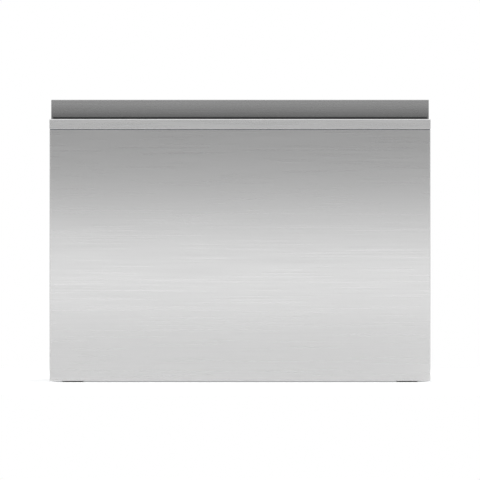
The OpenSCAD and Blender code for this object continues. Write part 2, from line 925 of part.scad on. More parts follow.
module door_screws() {
    color("#8f9295") at_door_screws() union() {
        bar_y(0, [inner_panel_rear_y, inner_panel_rear_y + screw_head_h], 0, screw_head_r);
        bar_y(0, [inner_panel_y - door_screw_l, inner_panel_rear_y + eps], 0, screw_shank_r);
    }
}

// ---- Controls on the top edge of the drawer ----

module control_fascia() {
    key = [button_w + 2 * button_gap, button_d + 2 * button_gap];
    color("#3f4145") union() {
        difference() {
            union() {
                block([-fascia_half, fascia_half], fascia_y, [fascia_top_z - fascia_t, fascia_top_z]);
                block([-fascia_half, fascia_half], [fascia_y[0], fascia_y[0] + fascia_t],
                    [fascia_skirt_z, fascia_top_z]);
                block([-fascia_half, fascia_half], [fascia_y[1] - fascia_t, fascia_y[1]],
                    [rim_z - rim_t, fascia_top_z]);
            }
            for (i = [0 : 3]) {
                x = button_x0 + i * button_pitch;
                block([x - key[0] / 2, x + key[0] / 2], [button_y - key[1] / 2, button_y + key[1] / 2],
                    [fascia_top_z - fascia_t - over, fascia_top_z + over]);
            }
            block([display_x - display_w / 2, display_x + display_w / 2],
                [button_y - display_d / 2, button_y + display_d / 2],
                [fascia_top_z - fascia_t - over, fascia_top_z + over]);
        }
        for (x = [-post_x, post_x], y = [fascia_y[0] + post_inset, fascia_y[1] - post_inset]) {
            bar_z(x, y, [board_z + board_t, fascia_top_z - fascia_t + eps], post_r);
        }
    }
}

module display_lens() {
    clearance = 0.1;
    flange_w = 1.5;
    rise = 0.2;
    under_z = fascia_top_z - fascia_t;
    lens_x = [display_x - display_w / 2 + clearance, display_x + display_w / 2 - clearance];
    lens_y = [button_y - display_d / 2 + clearance, button_y + display_d / 2 - clearance];
    color("#16181b") union() {
        block(lens_x, lens_y, [under_z - flange_w, fascia_top_z + rise]);
        block([lens_x[0] - flange_w, lens_x[1] + flange_w], [lens_y[0] - flange_w, lens_y[1] + flange_w],
            [under_z - flange_w, under_z]);
    }
}

module control_board() {
    chip_h = 2;
    chip_x = [70, 100, 130];
    chip_half = [7, 5];
    switch_half = 3;
    top_z = board_z + board_t;
    color("#1f6b3a") union() {
        block([-board_half, board_half], [fascia_y[0] + board_edge, fascia_y[1] - board_edge],
            [board_z, top_z]);
        for (i = [0 : 3]) {
            x = button_x0 + i * button_pitch;
            block([x - switch_half, x + switch_half], [button_y - switch_half, button_y + switch_half],
                [top_z - eps, top_z + switch_h]);
        }
        for (x = chip_x) {
            block([x - chip_half[0], x + chip_half[0]], [button_y - chip_half[1], button_y + chip_half[1]],
                [top_z - eps, top_z + chip_h]);
        }
    }
}

module push_button(i) {
    x = button_x0 + i * button_pitch;
    under_z = fascia_top_z - fascia_t - button_gap;
    stem_gap = 0.1;
    stem_z = [board_z + board_t + switch_h + button_travel + stem_gap, under_z - button_flange_h + eps];
    color("#6a6d71") union() {
        block([x - button_w / 2, x + button_w / 2], [button_y - button_d / 2, button_y + button_d / 2],
            [under_z - button_flange_h, fascia_top_z + button_rise]);
        block([x - button_w / 2 - button_flange, x + button_w / 2 + button_flange],
            [button_y - button_d / 2 - button_flange, button_y + button_d / 2 + button_flange],
            [under_z - button_flange_h, under_z]);
        bar_z(x, button_y, stem_z, stem_r);
    }
}

module power_button() {
    push_button(0);
}

module programme_button() {
    push_button(1);
}

module option_button() {
    push_button(2);
}

module start_button() {
    push_button(3);
}

// ---- Tub and wash system ----

module tub() {
    cut_gap = 0.2;
    leg_gap = 0.05;
    weld = 1;
    wash_w = 2 * (tub_half - tub_t);
    wash_d = tub_d - 2 * tub_t;
    color("#d4d6d8") difference() {
        union() {
            translate([0, tub_mid_y, tub_z]) linear_extrude(rim_z - tub_z)
                soft_rect(2 * tub_half, tub_d, tub_r);
            translate([0, tub_mid_y, rim_z - rim_t]) linear_extrude(rim_t)
                soft_rect(2 * (tub_half + rim_w), tub_d + 2 * rim_w, tub_r + rim_w);
            bar_z(0, arm_y, [sump_z, tub_z + weld], sump_r);
            bar_z(0, drain_y, [sump_z, tub_z + weld], drain_sump_r);
        }
        translate([0, tub_mid_y, tub_floor_z]) linear_extrude(rim_z - tub_floor_z + over)
            soft_rect(wash_w, wash_d, tub_r - tub_t);
        bar_z(0, arm_y, [sump_z + tub_t, tub_floor_z + over], sump_r - tub_t);
        bar_z(0, drain_y, [sump_z + tub_t, tub_floor_z + over], drain_sump_r - tub_t);
        block([dispenser_x[0] - cut_gap, dispenser_x[1] + cut_gap], [tub_y[0] - over, tub_in_y[0] + over],
            [dispenser_z[0] - cut_gap, dispenser_z[1] + cut_gap]);
        bar_y(fan_x, [tub_y[0] - over, tub_in_y[0] + over], fan_z, duct_bore_r);
        bar_z(0, arm_y, [sump_z - over, sump_z + tub_t + over], rotor_shaft_r + fit);
        for (angle = heater_legs) {
            bar_z(heater_r * cos(angle), arm_y + heater_r * sin(angle),
                [sump_z - over, sump_z + tub_t + over],
                heater_leg_r + leg_gap);
        }
    }
}

module motor_housing() {
    fins = 12;
    fin_t = 4;
    fin_d = 7;
    flange_h = 10;
    foot_h = 6;
    core_r = motor_r - 4;
    rim_r = motor_r - 1;
    shaft_z = 10;
    color("#55585b") difference() {
        union() {
            bar_z(0, arm_y, [sump_z - motor_h, sump_z], core_r);
            bar_z(0, arm_y, [sump_z - flange_h, sump_z], motor_r);
            bar_z(0, arm_y, [sump_z - motor_h, sump_z - motor_h + foot_h], rim_r);
            for (i = [0 : fins - 1]) {
                translate([0, arm_y, sump_z - motor_h]) rotate(i * 360 / fins)
                    block([rim_r - fin_d, rim_r], [-fin_t / 2, fin_t / 2], [0, motor_h - flange_h / 2]);
            }
        }
        bar_z(0, arm_y, [sump_z - motor_h + shaft_z, sump_z + over], rotor_shaft_r + fit);
    }
}

module rotor_impeller() {
    vanes = 6;
    vane_t = 2;
    vane_h = 18;
    disc_t = 2;
    hub_r = 9;
    hub_h = 24;
    shaft_z = 12;
    base_z = sump_z + tub_t + 2;
    color("#dcdad2") union() {
        bar_z(0, arm_y, [sump_z - motor_h + shaft_z, base_z + eps], rotor_shaft_r);
        bar_z(0, arm_y, [base_z, base_z + disc_t], rotor_r);
        bar_z(0, arm_y, [base_z, base_z + hub_h], hub_r);
        for (i = [0 : vanes - 1]) {
            translate([0, arm_y, base_z]) rotate(i * 360 / vanes)
                block([hub_r - 1, rotor_r - 1], [-vane_t / 2, vane_t / 2], [disc_t / 2, vane_h]);
        }
    }
}

module heater_element() {
    color("#8b8d8f") union() {
        translate([0, arm_y, heater_z]) rotate_extrude() translate([heater_r, 0]) circle(r = heater_tube_r);
        for (angle = heater_legs) {
            bar_z(heater_r * cos(angle), arm_y + heater_r * sin(angle), [sump_z, heater_z], heater_leg_r);
        }
    }
}

// Plate over the sump, with the hollow spindle that the spray arm turns on
module filter_plate() {
    hole_r = 2.2;
    holes = 28;
    ring_inset = 8;
    ring_pitch = 10;
    spindle_wall = 3;
    color("#b9bbbd") difference() {
        union() {
            bar_z(0, filter_y, [tub_floor_z, tub_floor_z + filter_t], filter_r);
            bar_z(0, arm_y, [tub_floor_z, spindle_top_z], spindle_r);
        }
        bar_z(0, arm_y, [tub_floor_z - over, spindle_top_z + over], spindle_r - spindle_wall);
        bar_z(0, drain_y, [tub_floor_z - over, tub_floor_z + filter_t + over], drain_filter_r + fit);
        for (ring = [0 : 1], i = [0 : holes - 1]) {
            angle = i * 360 / holes;
            ring_r = filter_r - ring_inset - ring * ring_pitch;
            bar_z(ring_r * cos(angle), filter_y + ring_r * sin(angle),
                [tub_floor_z - over, tub_floor_z + filter_t + over], hole_r);
        }
    }
}

module drain_filter() {
    cup_t = 2;
    slots = 10;
    slot_h = 12;
    slot_z = 6;
    rib_half = 2;
    rib_inset = 5;
    rib_drop = 10;
    rib_rise = 6;
    cap_t = 2;
    cap_margin = 2.5;
    seat_gap = 0.1;
    base_z = sump_z + tub_t + 2;
    plate_top_z = tub_floor_z + filter_t;
    rib_z = [plate_top_z - rib_drop, plate_top_z + rib_rise];
    color("#caccc9") difference() {
        union() {
            bar_z(0, drain_y, [base_z, plate_top_z + seat_gap], drain_filter_r);
            bar_z(0, drain_y, [plate_top_z + seat_gap, plate_top_z + cap_t], drain_filter_r + cap_margin);
            block([-drain_filter_r + rib_inset, drain_filter_r - rib_inset],
                [drain_y - rib_half, drain_y + rib_half], rib_z);
        }
        difference() {
            bar_z(0, drain_y, [base_z + cup_t, plate_top_z + cap_t + over], drain_filter_r - cup_t);
            block([-drain_filter_r, drain_filter_r], [drain_y - rib_half, drain_y + rib_half], rib_z);
        }
        for (i = [0 : slots - 1]) {
            translate([0, drain_y, base_z + slot_z]) rotate((i + 0.5) * 360 / slots)
                block([drain_filter_r - cup_t - over, drain_filter_r + over], [-rib_half, rib_half],
                    [0, slot_h]);
        }
    }
}

module spray_arm() {
    root_w = 46;
    tip_w = 26;
    hub_r = 24;
    half = arm_l / 2 - tip_w / 2;
    nozzle_r = 1.6;
    nozzle_d = 3;
    nozzle_x = [60, 94, 128, 162];
    nozzle_y = [-4, 0, 4, 8];
    hub_top_t = 2;
    blade_rise = 7.5;
    blade_z = [arm_z + blade_rise, arm_z + blade_rise + arm_h];
    color("#8d9093") difference() {
        union() {
            bar_z(0, arm_y, [arm_z, blade_z[1]], hub_r);
            translate([0, arm_y, blade_z[0]]) linear_extrude(arm_h) {
                polygon([[-half, -tip_w / 2], [0, -root_w / 2], [half, -tip_w / 2],
                    [half, tip_w / 2], [0, root_w / 2], [-half, tip_w / 2]]);
                for (x = [-half, half]) {
                    translate([x, 0]) circle(r = tip_w / 2);
                }
            }
        }
        bar_z(0, arm_y, [arm_z - over, blade_z[1] - hub_top_t], spindle_r + fit);
        for (side = [-1, 1], i = [0 : 3]) {
            bar_z(side * nozzle_x[i], arm_y + side * nozzle_y[i], [blade_z[1] - nozzle_d, blade_z[1] + over],
                nozzle_r);
        }
    }
}

// ---- Dispenser and drying fan on the front wall of the tub ----

module detergent_dispenser() {
    plate_y = tub_in_y[0] + dispenser_plate_t;
    cover_z = [dispenser_z[0] + cover_inset, dispenser_z[1] - cover_inset];
    rail_z = [cover_z[0] - door_gap, cover_z[1] + door_gap];
    rail_h = 3.5;
    rail_d = door_t + 2 * door_gap;
    guard_t = 1.2;
    lip = 1.8;
    rail_end = 4;
    cup_wall = 5;
    cap_hole_l = 10;
    rail_x = [-cup_half - door_overlap - rail_end, dispenser_half];
    rail_y = [plate_y, plate_y + rail_d + guard_t];
    guard_y = [plate_y + rail_d, plate_y + rail_d + guard_t];
    color("#c8cac8") difference() {
        union() {
            block(dispenser_x, [tub_in_y[0] - dispenser_depth, tub_in_y[0]], dispenser_z);
            block([-dispenser_half, dispenser_half], [tub_in_y[0], plate_y],
                [dispenser_z[0] - dispenser_margin, dispenser_z[1] + dispenser_margin]);
            block(rail_x, rail_y, [rail_z[0] - rail_h, rail_z[0]]);
            block(rail_x, guard_y, [rail_z[0] - eps, rail_z[0] + lip]);
            block(rail_x, rail_y, [rail_z[1], rail_z[1] + rail_h]);
            block(rail_x, guard_y, [rail_z[1] - lip, rail_z[1] + eps]);
        }
        block([-cup_half, cup_half], [tub_in_y[0] - cup_depth, plate_y + over],
            [dispenser_z[0] + cup_wall, dispenser_z[1] - cup_wall]);
        bar_y(cap_x, [tub_in_y[0] - cap_hole_l, plate_y + over], dispenser_mid_z, cap_spigot_r + fit);
    }
}

module detergent_door() {
    plate_y = tub_in_y[0] + dispenser_plate_t + door_gap;
    grip_x = cup_half - 10;
    grip_w = 1.5;
    grip_pitch = 4;
    grip_rise = 2;
    grip_half_h = 18;
    color("#a9acad") union() {
        block([-cup_half - door_overlap, cup_half + door_overlap], [plate_y, plate_y + door_t],
            [dispenser_z[0] + cover_inset, dispenser_z[1] - cover_inset]);
        for (i = [-1 : 1]) {
            block([grip_x + i * grip_pitch, grip_x + i * grip_pitch + grip_w],
                [plate_y + door_t - eps, plate_y + door_t + grip_rise],
                [dispenser_mid_z - grip_half_h, dispenser_mid_z + grip_half_h]);
        }
    }
}

module rinse_aid_cap() {
    plate_y = tub_in_y[0] + dispenser_plate_t;
    spigot_end = 9;
    seat_gap = 0.2;
    cap_t = 5;
    grip_half_w = 3;
    grip_rise = 3;
    grip_half_h = cap_r - 3;
    color("#33579a") union() {
        bar_y(cap_x, [tub_in_y[0] - spigot_end, plate_y + seat_gap + eps], dispenser_mid_z, cap_spigot_r);
        bar_y(cap_x, [plate_y + seat_gap, plate_y + cap_t], dispenser_mid_z, cap_r);
        block([cap_x - grip_half_w, cap_x + grip_half_w],
            [plate_y + cap_t - eps, plate_y + cap_t + grip_rise],
            [dispenser_mid_z - grip_half_h, dispenser_mid_z + grip_half_h]);
    }
}

module fan_housing() {
    housing_y = [inner_panel_rear_y, inner_panel_rear_y + fan_depth];
    foot_t = 3;
    foot_w = 8;
    bearing_y = housing_y[0] + 2;
    color("#46484b") difference() {
        union() {
            bar_y(fan_x, housing_y, fan_z, fan_r);
            block([fan_x - fan_r - foot_w, fan_x + fan_r + foot_w], [housing_y[0], housing_y[0] + foot_t],
                [fan_z - foot_w, fan_z + foot_w]);
            bar_y(fan_x, [housing_y[1] - eps, tub_y[0]], fan_z, duct_r);
        }
        bar_y(fan_x, [housing_y[0] + fan_base_t, housing_y[1] - fan_t], fan_z, fan_r - fan_t);
        bar_y(fan_x, [housing_y[1] - fan_t - over, tub_y[0] + over], fan_z, duct_bore_r);
        bar_y(fan_x, [bearing_y, housing_y[0] + fan_base_t + over], fan_z, fan_shaft_r + fit);
    }
}

module fan_rotor() {
    shaft_y = inner_panel_rear_y + 3;
    hub_y = inner_panel_rear_y + fan_base_t + 1;
    disc_t = 2;
    hub_r = 10;
    hub_l = 14;
    blade_t = 1.6;
    blade_l = 22;
    color("#d9d7cf") union() {
        bar_y(fan_x, [shaft_y, hub_y + eps], fan_z, fan_shaft_r);
        bar_y(fan_x, [hub_y, hub_y + disc_t], fan_z, fan_rotor_r);
        bar_y(fan_x, [hub_y, hub_y + hub_l], fan_z, hub_r);
        for (i = [0 : fan_blades - 1]) {
            translate([fan_x, 0, fan_z]) rotate([0, i * 360 / fan_blades, 0])
                block([hub_r - 2, fan_rotor_r - 1], [hub_y + disc_t / 2, hub_y + blade_l],
                    [-blade_t / 2, blade_t / 2]);
        }
    }
}

// ---- Lid that closes on the tub while it washes ----

module lid_panel() {
    half_w = tub_half + rim_w - lid_margin;
    depth = tub_d + 2 * rim_w - 2 * lid_margin;
    corner_r = tub_r + rim_w - lid_margin;
    ear_gap = 3;
    ear_weld = 1;
    ear_z = [pinion_z - pinion_r, min(pinion_z + lid_travel + pinion_r, top_under_z - ear_gap)];
    teeth = floor((ear_z[1] - ear_z[0]) / tooth_pitch);
    ear_y = [rack_gear_y - pinion_w / 2 - 1, rack_gear_y + pinion_w / 2 + 1];
    rib_t = 2;
    rib_h = lid_h - 4;
    rib_x = [-160, 0, 160];
    rib_y = [-120, 0, 120];
    rib_sink = 1;
    color("#c9cbcd") union() {
        translate([0, tub_mid_y, lid_z]) difference() {
            linear_extrude(lid_h) soft_rect(2 * half_w, depth, corner_r);
            translate([0, 0, lid_t]) linear_extrude(lid_h)
                soft_rect(2 * (half_w - lid_wall_t), depth - 2 * lid_wall_t, corner_r - lid_wall_t);
        }
        for (x = rib_x) {
            block([x - rib_t / 2, x + rib_t / 2],
                [tub_mid_y - depth / 2 + rib_sink, tub_mid_y + depth / 2 - rib_sink],
                [lid_z + lid_t - eps, lid_z + rib_h]);
        }
        for (y = rib_y) {
            block([-half_w + rib_sink, half_w - rib_sink],
                [tub_mid_y + y - rib_t / 2, tub_mid_y + y + rib_t / 2],
                [lid_z + lid_t - eps, lid_z + rib_h]);
        }
        for (side = [-1, 1]) {
            on_side(side) union() {
                block([half_w - ear_weld, ear_x[0] + ear_weld], ear_y, [lid_z, lid_z + lid_h]);
                block([ear_x[0], ear_x[1] - tooth_h], ear_y, ear_z);
                for (i = [-2 : teeth - 3]) {
                    rack_tooth(pinion_z + (i + 0.5) * tooth_pitch);
                }
            }
        }
    }
}

// One tooth of the upright gear rack on the edge of the lid
module rack_tooth(z) {
    root = 1.5;
    tip = 0.7;
    root_x = ear_x[1] - tooth_h;
    translate([0, rack_gear_y, z]) rotate([90, 0, 0]) linear_extrude(pinion_w, center = true)
        polygon([[root_x - eps, -root / 2], [ear_x[1], -tip / 2], [ear_x[1], tip / 2],
            [root_x - eps, root / 2]]);
}

module lid_seal() {
    margin = 2;
    half_w = tub_half + rim_w - margin;
    depth = tub_d + 2 * rim_w - 2 * margin;
    corner_r = tub_r + rim_w - margin;
    color("#2a2a2b") translate([0, tub_mid_y, lid_z - seal_h]) difference() {
        linear_extrude(seal_h) soft_rect(2 * half_w, depth, corner_r);
        translate([0, 0, -over]) linear_extrude(seal_h + 2 * over)
            soft_rect(2 * (half_w - seal_w), depth - 2 * seal_w, corner_r - seal_w);
    }
}

// ---- Racks ----

// Wires with eight flat sides along each axis
module wire_x(x, y, z, d) {
    translate([x[0], y, z]) rotate([0, 90, 0]) rotate(22.5) cylinder(d = d, h = x[1] - x[0], $fn = 8);
}
module wire_y(x, y, z, d) {
    translate([x, y[0], z]) rotate([-90, 0, 0]) rotate(22.5) cylinder(d = d, h = y[1] - y[0], $fn = 8);
}
module wire_z(x, y, z, d) {
    translate([x, y, z[0]]) rotate(22.5) cylinder(d = d, h = z[1] - z[0], $fn = 8);
}

// Evenly spaced places between two ends, ends left out
function places(low, high, count) = [for (i = [1 : count]) low + (high - low) * i / (count + 1)];

// Welded floor of the rack, with flat-sided wires and the clips of the tine rods
module rack_base() {
    edge = frame_wire_d;
    ends = [rack_y[0] + edge / 2, rack_y[1] - edge / 2];
    clip_z = [rack_frame_z, tine_rod_z + clip_r];
    low_z = [rack_z - wire_d / 2, rack_z + wire_d / 2];
    high_z = [rack_top_z - wire_d, rack_top_z];
    frame_span_z = [rack_frame_z - edge / 2, rack_frame_z + edge / 2];
    color("#8d9296") difference() {
        union() {
            for (side = [-1, 1]) {
                on_side(side) block([rack_half - edge, rack_half], rack_y, frame_span_z);
            }
            for (y = [rack_y[0], rack_y[1] - edge]) {
                block([-rack_half + edge / 2, rack_half - edge / 2], [y, y + edge], frame_span_z);
            }
            for (y = places(ends[0], ends[1], wires_along)) {
                block([-rack_half + edge / 2, rack_half - edge / 2], [y - wire_d / 2, y + wire_d / 2], low_z);
            }
            for (x = places(-rack_half, rack_half, wires_across)) {
                block([x - wire_d / 2, x + wire_d / 2], ends, high_z);
            }
            for (side = [-1, 1], y = [rack_y[0], rack_y[1] - edge]) {
                on_side(side) block([rack_half - edge, rack_half], [y, y + edge],
                    [tub_floor_z, rack_frame_z]);
            }
            for (y = tine_row_y, x = [-tine_clip_x, 0, tine_clip_x]) {
                block([x - tine_clip_w / 2, x + tine_clip_w / 2], [y - clip_r, y + clip_r], clip_z);
            }
        }
        for (y = tine_row_y) {
            bar_x([-tine_clip_x - tine_clip_w, tine_clip_x + tine_clip_w], y, tine_rod_z, tine_rod_r + fit);
        }
    }
}

module rack_wall_x(y) {
    end_posts = 15;
    end_step = 20;
    corner_gap = 0.5;
    half = rack_half - frame_wire_d - corner_gap;
    foot_z = rack_frame_z + frame_wire_d / 2 + wall_gap;
    union() {
        wire_x([-half, half], y, rack_rail_z, frame_wire_d);
        wire_x([-half, half], y, (foot_z + rack_rail_z) / 2, wire_d);
        for (x = places(-half - end_step, half + end_step, end_posts)) {
            wire_z(x, y, [foot_z, rack_rail_z], wire_d);
        }
    }
}

module rack_wall_y(side) {
    side_posts = 13;
    clip_half_w = 4;
    clip_reach = 2;
    bore_reach = 10;
    x = rack_half - frame_wire_d / 2;
    foot_z = rack_frame_z + frame_wire_d / 2 + wall_gap;
    on_side(side) difference() {
        union() {
            wire_y(x, rack_y, rack_rail_z, frame_wire_d);
            wire_y(x, rack_y, (foot_z + rack_rail_z) / 2, wire_d);
            for (y = places(rack_y[0] - post_step, rack_y[1] + post_step, side_posts)) {
                wire_z(x, y, [foot_z, rack_rail_z], wire_d);
            }
            for (y = cup_clip_y) {
                block([cup_hinge_x - clip_r, x + clip_reach], [y - clip_half_w, y + clip_half_w],
                    [rack_rail_z, cup_hinge_z + clip_r]);
            }
        }
        bar_y(cup_hinge_x, [cup_clip_y[0] - bore_reach, cup_clip_y[1] + bore_reach], cup_hinge_z,
            tine_rod_r + fit);
    }
}

module rack_walls() {
    color("#8d9296") {
        rack_wall_x(rack_y[0] + frame_wire_d / 2);
        rack_wall_x(rack_y[1] - frame_wire_d / 2);
        rack_wall_y(-1);
        rack_wall_y(1);
    }
}

// A row of upright tines on a rod that turns in the clips of the rack floor
module tine_row(y) {
    rod_half = tine_clip_x + tine_clip_w / 2 + 1;
    tine_d = wire_d - 0.2;
    color("#8d9296") union() {
        bar_x([-rod_half, rod_half], y, tine_rod_z, tine_rod_r);
        for (side = [-1, 1], i = [0 : tines_per_side - 1]) {
            wire_z(side * tine_pitch * (i + 0.5), y, [tine_rod_z, tine_rod_z + tine_h], tine_d);
        }
    }
}

module tine_row_front() {
    tine_row(tine_row_y[0]);
}

module tine_row_rear() {
    tine_row(tine_row_y[1]);
}

module cup_rack(side) {
    inner_x = cup_hinge_x - cup_rack_d;
    edge_wire_d = frame_wire_d - 0.8;
    color("#8d9296") on_side(side) union() {
        bar_y(cup_hinge_x, cup_rack_y, cup_hinge_z, tine_rod_r);
        wire_y(inner_x, cup_rack_y, cup_hinge_z, edge_wire_d);
        wire_y((inner_x + cup_hinge_x) / 2, cup_rack_y, cup_hinge_z, wire_d);
        for (y = places(cup_rack_y[0] - post_step, cup_rack_y[1] + post_step, cup_wires)) {
            wire_x([inner_x, cup_hinge_x], y, cup_hinge_z, wire_d);
        }
    }
}

module cup_rack_left() {
    cup_rack(-1);
}

module cup_rack_right() {
    cup_rack(1);
}

module cutlery_basket() {
    cell_w = (basket_x[1] - basket_x[0] - basket_t) / basket_cells;
    slot_step = (basket_x[1] - basket_x[0]) / basket_slots;
    slot_w = 6;
    slot_h = 40;
    slot_rise = 12;
    slot_pitch = 48;
    color("#7d8286") difference() {
        block(basket_x, basket_y, [basket_z, basket_z + basket_h]);
        for (i = [0 : basket_cells - 1]) {
            block([basket_x[0] + basket_t + i * cell_w, basket_x[0] + (i + 1) * cell_w],
                [basket_y[0] + basket_t, basket_y[1] - basket_t],
                [basket_z + basket_t, basket_z + basket_h + over]);
        }
        for (i = [0 : basket_slots - 1], row = [0 : 1]) {
            x = basket_x[0] + (i + 0.5) * slot_step;
            z = basket_z + slot_rise + row * slot_pitch;
            block([x - slot_w / 2, x + slot_w / 2], [basket_y[0] - over, basket_y[1] + over],
                [z, z + slot_h]);
        }
    }
}

chassis_left_side();
chassis_right_side();
chassis_back_panel();
chassis_top_panel();
side_trims();
base_pan();
service_bracket();
foot_front_left();
foot_front_right();
foot_rear_left();
foot_rear_right();
water_inlet_valve();
drain_outlet_spigot();
cord_gland();
power_module();
flood_float();
flood_switch();
lid_actuators();
lid_pinion_left();
lid_pinion_right();
chassis_screws();
runner_outer_members();
runner_middle_members();
runner_inner_members();
lid_panel();
lid_seal();
tub_brackets();
tub();
door_skin();
handle_profile();
handle_end_caps();
door_backing_frame();
acoustic_pad();
inner_door_panel();
door_screws();
control_fascia();
display_lens();
control_board();
power_button();
programme_button();
option_button();
start_button();
motor_housing();
rotor_impeller();
heater_element();
filter_plate();
drain_filter();
spray_arm();
rack_base();
rack_walls();
tine_row_front();
tine_row_rear();
cup_rack_left();
cup_rack_right();
cutlery_basket();
detergent_dispenser();
detergent_door();
rinse_aid_cap();
fan_housing();
fan_rotor();
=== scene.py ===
"""Looks of a built-in dishwasher drawer with a brushed stainless front and a recessed finger channel.

Everything is in metres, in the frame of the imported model: X to the right, the front faces -Y, Z up.
"""
import logging
import math
from dataclasses import dataclass
from enum import Enum

import bmesh
import bpy
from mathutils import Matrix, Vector


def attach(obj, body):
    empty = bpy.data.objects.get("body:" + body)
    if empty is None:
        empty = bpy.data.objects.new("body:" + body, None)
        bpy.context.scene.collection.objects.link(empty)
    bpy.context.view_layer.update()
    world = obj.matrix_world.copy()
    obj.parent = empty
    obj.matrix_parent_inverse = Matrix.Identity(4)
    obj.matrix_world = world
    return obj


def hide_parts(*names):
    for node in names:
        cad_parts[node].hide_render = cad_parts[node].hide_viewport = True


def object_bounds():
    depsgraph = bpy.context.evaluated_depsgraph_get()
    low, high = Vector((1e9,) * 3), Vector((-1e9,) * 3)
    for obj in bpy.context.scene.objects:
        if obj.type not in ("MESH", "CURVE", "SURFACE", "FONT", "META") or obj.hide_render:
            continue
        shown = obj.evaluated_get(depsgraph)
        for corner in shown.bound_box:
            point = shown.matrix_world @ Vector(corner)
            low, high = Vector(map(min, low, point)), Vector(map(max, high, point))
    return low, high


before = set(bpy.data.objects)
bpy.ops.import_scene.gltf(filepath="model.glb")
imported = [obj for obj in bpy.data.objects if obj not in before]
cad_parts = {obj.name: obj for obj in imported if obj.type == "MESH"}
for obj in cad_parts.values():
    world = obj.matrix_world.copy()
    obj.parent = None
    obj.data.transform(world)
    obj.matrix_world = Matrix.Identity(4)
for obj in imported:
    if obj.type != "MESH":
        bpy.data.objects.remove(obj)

CAD_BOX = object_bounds()
MM = 0.001
# Noise seldom leaves this span, so a pattern is stretched from it to zero and one.
NOISE_SPAN = (0.3, 0.7)
NOISE_ROUGHNESS = 0.55
# Triangles flatter than this are merged before the edges sharper than EDGE_DEGREES are rounded.
FLAT_DEGREES = 0.1
EDGE_DEGREES = 40.0
ROUNDING_STEPS = 2
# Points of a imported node, and points of a new mesh, that are joined, in millimetres.
PACKED_WELD = 0.002
MERGE = 0.02
# A turned point on its axis is drawn this far from it; a section drawn up to its middle stops at CORE.
ON_AXIS = 0.01
CORE = 0.02
# Sides of a round bar and of a turned piece.
ROD_SIDES = 64
LATHE_SIDES = 48
# The round tip of a wire: distance past its end and width there, as shares of its radius.
WIRE_TIP = ((0.4, 0.8), (0.6, 0.45))
# Angle to which smooth shading goes, unless a piece says its own.
SHARP_DEGREES = 38.0
LOG = logging.getLogger("dishwasher_drawer")

Colour = tuple[float, float, float, float]
Point = tuple[float, float, float]
Flat = tuple[float, float]


class Axis(Enum):
    """A direction of the machine, used for brushing and for bars."""

    X = 0
    Y = 1
    Z = 2


# ---------------------------------------------------------------- small tools


def linear(hex_colour: str) -> Colour:
    """Turns an sRGB hex colour into the linear colour that a shader takes.

    Args:
        hex_colour: six hex digits with a leading hash.

    Returns:
        Red, green, blue and an alpha of one.
    """
    channels = [int(hex_colour[i : i + 2], 16) / 255 for i in (1, 3, 5)]
    red, green, blue = (c / 12.92 if c <= 0.04045 else ((c + 0.055) / 1.055) ** 2.4 for c in channels)
    return red, green, blue, 1.0


def add_node(
    tree: bpy.types.NodeTree, kind: str, settings: dict | None = None, links: dict | None = None
) -> bpy.types.Node:
    """Adds one node with its settings and its incoming links.

    Args:
        tree: the tree that takes the node.
        kind: Blender's name of the node type.
        settings: attribute names, input names or input numbers, with their values.
        links: input names or numbers, with the output sockets that feed them.

    Returns:
        The new node.
    """
    node = tree.nodes.new(kind)
    for key, value in (settings or {}).items():
        if isinstance(key, str) and key not in node.inputs:
            setattr(node, key, value)
        else:
            node.inputs[key].default_value = value
    for key, output in (links or {}).items():
        tree.links.new(output, node.inputs[key])
    return node


def empty_tree(owner: bpy.types.ID) -> bpy.types.NodeTree:
    """Gives a material or a world a node tree with nothing in it.

    Args:
        owner: the material or the world.

    Returns:
        Its node tree.
    """
    owner.use_nodes = True
    owner.node_tree.nodes.clear()
    return owner.node_tree


# ---------------------------------------------------------------- finishes


